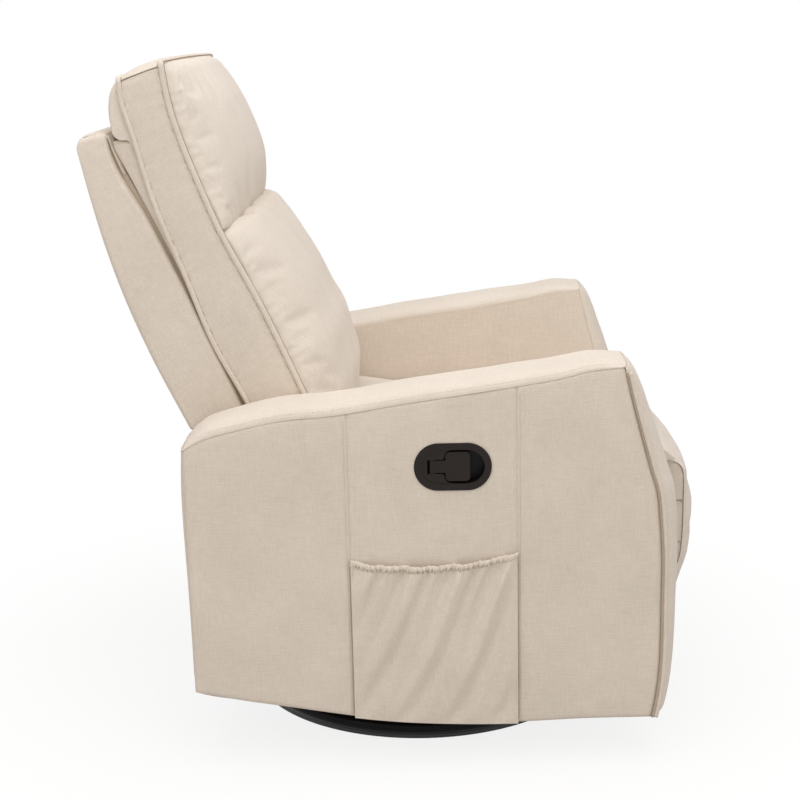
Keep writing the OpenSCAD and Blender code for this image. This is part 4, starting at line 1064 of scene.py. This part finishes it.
def build_back_cushion():
    welt_r = 4.5 * MM
    radius = 5 * MM
    half = back_half - 1 * MM
    rear = welt_line(back_points(rear_welt_shares), half, radius, 3 * MM)
    front = welt_line(back_points(front_welt_shares), half, radius, 2 * MM)
    # Boxing band between the welts
    middle = (rear.mean(0) + front.mean(0)) / 2
    ahead = np.gradient((rear + front) / 2, axis=0)
    normal = np.cross(ahead, rear - front)
    normal /= np.linalg.norm(normal, axis=1)[:, None]
    flip = np.sign(np.einsum("ij,ij->i", normal, (rear + front) / 2 - middle))
    normal *= flip[:, None]
    top_share = np.clip((np.abs(normal[:, 2]) - 0.5) * 2, 0, 1)
    puff = 4.5 * MM + 7 * MM * top_share * (1 - (np.abs(rear[:, 0]) / half) ** 6)
    corner = np.column_stack([np.abs(rear[:, 0]) - half, rear[:, 2] - rear[:, 2].max()])
    corner = np.linalg.norm(corner, axis=1)
    puff = puff * (1 - 0.9 * np.exp(-((corner / (7 * MM)) ** 2)))
    near_edge = (0, 0.8, 2, 4, 7)
    ws = spread(75 * MM, 5, near_edge)
    shape = (1 - np.abs(2 * ws - 1) ** 2.6) ** 0.5
    outer = (1 - ws)[None, :, None] * front[:, None] + ws[None, :, None] * rear[:, None]
    deep = 9 * MM
    inner = outer - normal[:, None] * deep
    outer = outer + normal[:, None] * (puff[:, None] * shape[None])[..., None]
    boxing = sewn("back_boxing_fabric", outer, inner, back_cloth, "back")
    subdivide(boxing)
    pucker(boxing, front, 1.5, 17, 34, 3)
    pucker(boxing, rear, 1.1, 15, 41, 5)
    lifted = normal * 1.8 * MM
    tube("back_front_welt", front + lifted, welt_r, back_cloth, "back")
    tube("back_rear_welt", rear + lifted, welt_r * 0.85, back_cloth, "back")

    across = rear - front
    across /= np.linalg.norm(across, axis=1)[:, None]
    # Thin dark cords beside the welts and along the boxing's top corners stand for the shade in those
    # seams: painted shade.
    seams = ((front + normal * 1.3 * MM + across * welt_r, "front_rear"),
             (front + normal * 1.6 * MM - across * welt_r, "front_front"),
             (rear + normal * 1.1 * MM - across * welt_r * 0.85, "rear_front"))
    for line, name in seams:
        tube("back_welt_painted_shade_" + name, line, 0.75 * MM, seam_shade, "back", sides=6)
    corner_at = 92
    for side, row in ((-1, corner_at), (1, len(front) - 1 - corner_at)):
        tube(side_name(side) + "_back_top_painted_shade", outer[row] + normal[row] * 0.6 * MM, 0.8 * MM, seam_shade,
             "back", sides=6)

    # Strip between the recess and the rear welt
    rows = spread(430 * MM, 9)
    z_shares = 0.79 * rows
    left = at_height(recess_shares, z_shares)
    right = at_height(rear_welt_shares, z_shares)
    us = spread(40 * MM, 5, near_edge)
    low = left[0] + us[:, None] * (right[0] - left[0])
    high = left[-1] + us[:, None] * (right[-1] - left[-1])
    kinds = ("roll", "seam", "seam", "roll")
    forward = 7 * MM
    left = left + (forward, 0)
    low = low + (forward * (1 - us))[:, None] * (1, 0)
    high = high + (forward * (1 - us))[:, None] * (1, 0)
    grid, off = panel_grid(low, high, left, right, us, rows, kinds, 4 * MM)
    for side in (-1, 1):
        bulge = off + ripple(grid, 0.6 * MM, 3 + side) * np.sin(math.pi * us)[None]
        outer = place(grid, side * (half - 2.5 * MM + bulge))
        inner = place(grid, side * (half - 14 * MM))
        piece = sewn(side_name(side) + "_back_rear_strip", outer, inner, back_cloth, "back")

    # Core behind the lumbar cushion
    z_shares = np.linspace(-0.03, 0.55, 30)
    inset = 2 * MM
    behind = at_height(recess_shares, z_shares) + (inset, 0)
    ahead = at_height(front_welt_shares, z_shares) - (inset, 0)
    loop = np.concatenate([behind, ahead[::-1]])
    across, height = crown_section(25, 8, 4)
    centre = loop.mean(0)
    loops = np.array([place(centre + (loop - centre) * (0.9 + 0.1 * h), s * (half - 15 * MM))
                      for s, h in zip(across, height)])
    core = looped("back_cushion_core", loops, back_cloth, "back")
    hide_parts("back_cushion")
    return front


def stack_loops(side_loop, middle_loop, half, section, fill=1):
    """Closed loops from side to side that swell from side_loop towards middle_loop."""
    across, share = section
    loops = []
    for s, g in zip(across, share * fill):
        loops.append(place(side_loop * (1 - g) + middle_loop * g, s * half))
    return np.array(loops)


def span(a, b, count):
    """Points at even steps between two points, without the two."""
    return a + np.linspace(0, 1, count + 2)[1:-1, None] * (b - a)


def back_pad(name, node, side_loop, middle_loop, fill, rows_free):
    """A stuffed cushion of the back. rows_free says how free its front is, from the fifth row on."""
    section = crown_section(67, 2.9, 1.9)
    points = stack_loops(side_loop, middle_loop, back_half - 1.6 * MM, section, fill)
    pad = looped(name, points, light_cloth, "back")
    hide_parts(node)
    free = np.zeros(points.shape[:2])
    free[:, 4:4 + len(rows_free)] = rows_free
    free *= np.clip((1 - np.abs(section[0])) / 0.05, 0, 1)[:, None]
    simulate(pad, free.ravel(), 3.2, 8, 0.015, 1.5)
    subdivide(pad)
    return pad


def build_pillow():
    n_front, n_top, n_rear, n_low = 64, 10, 26, 22
    crease = 0.56
    side_shares = pillow_side_low_shares + [s for s in front_welt_shares if s[0] > crease]
    loops = []
    for front_shares, rear_shares in ((side_shares, pillow_rear_side_shares),
                                      (pillow_front_shares, pillow_rear_shares)):
        ahead = along(back_points(front_shares), np.linspace(0, 1, n_front))
        behind = along(back_points(rear_shares), np.linspace(0, 1, n_rear))
        loops.append(np.concatenate([ahead, span(ahead[-1], behind[0], n_top), behind,
                                     span(behind[-1], ahead[0], n_low)]))
    rise = np.sin(np.linspace(0, math.pi, n_front)) ** 0.35
    return back_pad("head_pillow_fabric", "head_pillow", *loops, 0.88, rise[4:n_front - 3])


def build_lumbar():
    n_front, n_low, n_back = 70, 10, 30
    side_shares = lumbar_side_top_shares + [s for s in front_welt_shares if s[0] < 0.52][::-1]
    side_shares = side_shares + [[-0.04, 0.835]]
    side, middle = [along(back_points(shares), np.linspace(0, 1, n_front))
                    for shares in (side_shares, lumbar_front_shares)]
    rear_low = side[-1] - (10 * MM, 0)
    rear_top = side[0] - (4 * MM, 0)
    behind = rear_low + np.linspace(0, 1, n_back)[:, None] * (rear_top - rear_low)
    loops = [np.concatenate([ahead, span(ahead[-1], rear_low, n_low), behind]) for ahead in (side, middle)]
    return back_pad("lumbar_cushion_fabric", "lumbar_cushion", *loops, 0.9, np.ones(n_front - 6))


# Seat, rear skirt and leg rest

def build_seat():
    low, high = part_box("seat_cushion")
    rear = -high.y
    front = -low.y
    z0 = low.z
    tall = high.z - low.z
    depth = front - rear
    profile_shares = [(0.004, 0.1), (0.0, 0.22), (0.015, 0.42), (0.09, 0.5), (0.3, 0.56), (0.6, 0.7),
                      (0.8, 0.81), (0.9, 0.82), (0.94, 0.765), (0.96, 0.65), (0.981, 0.38), (0.996, 0.13),
                      (1.0, 0.03)]
    n_upper, n_lower = 110, 60
    end = 8 * MM
    profile = [(rear + p[0] * depth, z0 + p[1] * tall) for p in profile_shares]
    upper = along(profile, np.linspace(0, 1, n_upper))
    lower = np.linspace(front - end, rear + end, n_lower)
    lower = np.column_stack([lower, np.full(n_lower, z0 + 0.5 * MM)])
    middle = np.concatenate([upper, lower])
    side = middle.copy()
    side[:, 0] = (front + rear) / 2 + (middle[:, 0] - (front + rear) / 2) * 0.985
    share = np.clip((middle[:, 0] - rear) / depth, 0, 1)
    behind = np.clip((0.27 - share) / 0.2, 0, 1)
    side[:, 1] = z0 + (middle[:, 1] - z0) * (0.15 + 0.38 * share + 0.5 * behind)
    section = crown_section(61, 2.4, 1.5)
    points = stack_loops(side, middle, high.x, section)
    seat = looped("seat_cushion_fabric", points, light_cloth, "chair")
    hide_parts("seat_cushion")
    free = np.zeros(points.shape[:2])
    free[:, 6:n_upper - 10] = 1
    free *= np.clip((1 - np.abs(section[0])) / 0.04, 0, 1)[:, None]
    simulate(seat, free.ravel(), 2.0, 4, 0.015, 0.8, 16)
    subdivide(seat)

    # Cloth over the front rail
    low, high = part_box("front_rail")
    turn = 7 * MM
    off = 0.3 * MM
    path = [(-low.y - turn, high.z + off), (-low.y + off, high.z + off), (-low.y + off, low.z - off),
            (-low.y - turn, low.z - off)]
    base = np.concatenate([np.linspace(a, b, 10) for a, b in zip(path, path[1:])])
    base = base[np.r_[True, np.linalg.norm(np.diff(base, axis=0), axis=1) > 1e-6]]
    up, under = strip(base, outward(base, -1), np.full(len(base), 1.2 * MM), low.x + MM, high.x - MM,
                      crown_section(21, 24, 2))
    sewn("front_rail_fabric", up, under, light_cloth, "chair")


def build_skirt():
    low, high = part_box("rear_skirt")
    zs = low.z + spread(high.z - low.z, 14) * (high.z - low.z)
    base = np.column_stack([np.full(len(zs), -low.y), zs])
    ways = np.tile([-1.0, 0.0], (len(zs), 1))
    d = np.minimum(zs - low.z, high.z - zs)
    crowns = (high.y - low.y) * (0.6 + 0.4 * rounded(d, 8 * MM))
    up, under = strip(base, ways, crowns + MM, low.x, high.x, crown_section(41, 40, 3))
    skirt = sewn("rear_skirt_fabric", up, under, cloth, "chair")
    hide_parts("rear_skirt")


def build_footrest():
    low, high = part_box("footrest_pad")
    z0 = low.z
    tall = high.z - low.z
    f0 = -high.y
    thick = high.y - low.y
    channels = ((0.77, 2.5 * MM, 3 * MM), (0.53, 2 * MM, 3 * MM))
    rise_shares = [(0.004, 0.04), (0.058, 0.24), (0.119, 0.405), (0.177, 0.52), (0.213, 0.585),
                   (0.284, 0.72), (0.346, 0.81), (0.417, 0.86), (0.525, 0.885), (0.615, 0.875),
                   (0.687, 0.85), (0.744, 0.81), (0.827, 0.73), (0.888, 0.64), (0.935, 0.545),
                   (0.97, 0.43), (0.99, 0.3), (0.999, 0.1)]
    side_shares = [(0.004, 0.04), (0.058, 0.17), (0.119, 0.25), (0.213, 0.3), (0.284, 0.33), (0.346, 0.355),
                   (0.395, 0.39), (0.45, 0.43), (0.55, 0.455), (0.744, 0.465), (0.888, 0.46),
                   (0.935, 0.445), (0.965, 0.4), (0.985, 0.3), (0.995, 0.1)]
    n, n_behind = 130, 40
    held = 0.012
    loops = []
    for shares in (side_shares, rise_shares):
        ahead = along([(f0 + s[1] * thick, z0 + s[0] * tall) for s in shares], np.linspace(0, 1, n))
        for z_share, deep, wide in channels:
            gap = (ahead[:, 1] - z0) / tall - z_share
            ahead[:, 0] -= deep * np.exp(-((gap * tall) / wide) ** 2)
        zs = np.linspace(z0 + tall * 0.98, z0 + 4 * MM, n_behind)
        behind = np.column_stack([np.full(n_behind, f0 + 0.5 * MM), zs])
        loops.append(np.concatenate([ahead, behind]))
    across = crown_section(61, 4)[0]
    section = across, 1 - 0.8 * np.abs(across) ** 1.7 - 0.2 * np.abs(across) ** 8
    points = stack_loops(loops[0], loops[1], high.x, section)
    pad = looped("footrest_pad_fabric", points, light_cloth, "footrest")
    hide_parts("footrest_pad")
    free = np.zeros(points.shape[:2])
    free[:, 5:n - 5] = 1
    for z_share, _, _ in channels:
        free[np.abs((points[..., 2] - z0) / tall - z_share) < held] = 0
    free *= np.clip((1 - np.abs(section[0])) / 0.05, 0, 1)[:, None]
    simulate(pad, free.ravel(), 1.2, 3, 0.006, 1.5, 16)
    subdivide(pad)
    face = along([(f0 + p[1] * thick, z0 + p[0] * tall) for p in side_shares], np.linspace(0.12, 0.93, 70))
    # Thin dark cords along each side's front edge and across it at the channels stand for the shade in
    # those seams: painted shade.
    for side in (-1, 1):
        line = place(face, side * (high.x - 0.3 * MM))
        pucker(pad, line, 1.6, 12, 30, 8 + side)
        tube(side_name(side) + "_footrest_seam", line, 0.8 * MM, seam_shade, "footrest", sides=6)
        for z_share, _, _ in channels:
            z = z0 + z_share * tall
            f_face = np.interp(z, face[:, 1], face[:, 0])
            fs = np.linspace(f0 + 6 * MM, f_face, 12)
            line = np.array([(f, z + 2 * MM * math.sin(f * 60)) for f in fs])
            tube(side_name(side) + "_footrest_side_seam", place(line, side * (high.x + 0.1 * MM)), 0.7 * MM,
                 seam_shade, "footrest", sides=6)

    # The pad's cloth where it goes round the edges of the board
    board_low, board_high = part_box("footrest_board")
    depth = np.array([-board_high.y - 0.5 * MM, -board_low.y + 0.8 * MM])
    wrap = 1.8 * MM
    lift = 0.3 * MM
    for name, z, way in (("low", board_low.z, -1), ("top", board_high.z, 1)):
        line = np.column_stack([np.linspace(*depth, 8), np.full(8, z + way * lift)])
        up, under = strip(line, np.tile([0.0, way], (8, 1)), np.full(8, wrap), board_low.x - wrap,
                          board_high.x + wrap, crown_section(21, 24, 2))
        sewn("footrest_" + name + "_wrap", up, under, light_cloth, "footrest")
    zs = np.linspace(board_low.z - wrap, board_high.z + wrap, 30)
    grid = np.stack([np.column_stack([np.full(30, f), zs]) for f in np.linspace(*depth, 4)], axis=1)
    for side in (-1, 1):
        sewn(side_name(side) + "_footrest_side_wrap", place(grid, side * (board_high.x + wrap + lift)),
             place(grid, side * (board_high.x + lift)), light_cloth, "footrest")


# Stage and light

def make_stage():
    half = 6
    material, tree, shader = new_material("floor")
    tree.put(shader, {"Base Color": linear(208, 207, 205), "Roughness": 0.9})
    # Plain white far out. Near the chair part of the floor's own shade shows, so that its shadow stays.
    far = tree.add("VectorMath", {0: tree.add("TexCoord")["Object"]}, operation="LENGTH")["Value"]
    reach = tree.add("MapRange", {"Value": far, "From Min": 0.55, "From Max": 1.3, "To Min": 0.74,
                                  "To Max": 1}, interpolation_type="SMOOTHSTEP")["Result"]
    strength = tree.maths("MULTIPLY_ADD", tree.maths("SUBTRACT", 1, reach), 0.5, 1)
    glow = tree.add("Emission", {"Color": (1, 1, 1, 1), "Strength": strength})[0]
    tree.show(tree.maths("MULTIPLY", tree.direct(), reach), shader.outputs[0], glow, "Material Output")
    mesh = bpy.data.meshes.new("floor")
    corners = [(-half, -half, 0), (half, -half, 0), (half, half, 0), (-half, half, 0)]
    mesh.from_pydata(corners, [], [(0, 1, 2, 3)])
    mesh.materials.append(material)
    floor = bpy.data.objects.new("floor", mesh)
    bpy.context.scene.collection.objects.link(floor)

    world = bpy.data.worlds.new("world")
    bpy.context.scene.world = world
    tree = Tree(world)
    light = tree.nodes["Background"]
    tree.put(light, {"Color": (1, 0.985, 0.965, 1), "Strength": 0.56})
    white = tree.add("Background", {"Color": (1, 1, 1, 1), "Strength": 1})[0]
    tree.show(tree.direct(), light.outputs[0], white, "World Output")


def area_light(name, where, aim, size, power, colour):
    """A square lamp that faces the point aim."""
    data = bpy.data.lights.new(name, "AREA")
    data.shape = "RECTANGLE"
    data.size = data.size_y = size
    data.energy = power
    data.color = colour
    lamp = bpy.data.objects.new(name, data)
    bpy.context.scene.collection.objects.link(lamp)
    lamp.location = where
    lamp.rotation_mode = "QUATERNION"
    lamp.rotation_quaternion = (Vector(aim) - Vector(where)).to_track_quat("-Z", "Y")


# Place, aim, side, power and colour of each lamp
lamps = {
    "top_light": ((-0.5, -0.1, 2.9), (0, 0, 0.6), 2.4, 35, (0.96, 0.975, 1.02)),
    "side_light": ((-2.0, 1.7, 1.7), (-0.3, 0.1, 0.5), 1.4, 8, (1, 0.985, 0.965)),
    "front_light": ((-2.5, -1.2, 2.75), (0, 0, 0.6), 1.6, 20, (1, 0.985, 0.975)),
}

bpy.context.scene.view_settings.view_transform = "Standard"
make_stage()
for lamp_name, lamp in lamps.items():
    area_light(lamp_name, *lamp)
paint_frame()
build_arm(-1)
build_arm(1)
build_handle_face()
build_pocket()
build_back_frame()
front_welt = build_back_cushion()
pillow = build_pillow()
pucker(pillow, front_welt, 1.5, 20, 62, 1)
lumbar = build_lumbar()
pucker(lumbar, front_welt, 1.7, 24, 66, 2)
build_seat()
build_skirt()
build_footrest()
bevel(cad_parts["handle_bezel"], 1.6 * MM)
bevel(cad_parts["handle_flap"], 0.7 * MM)
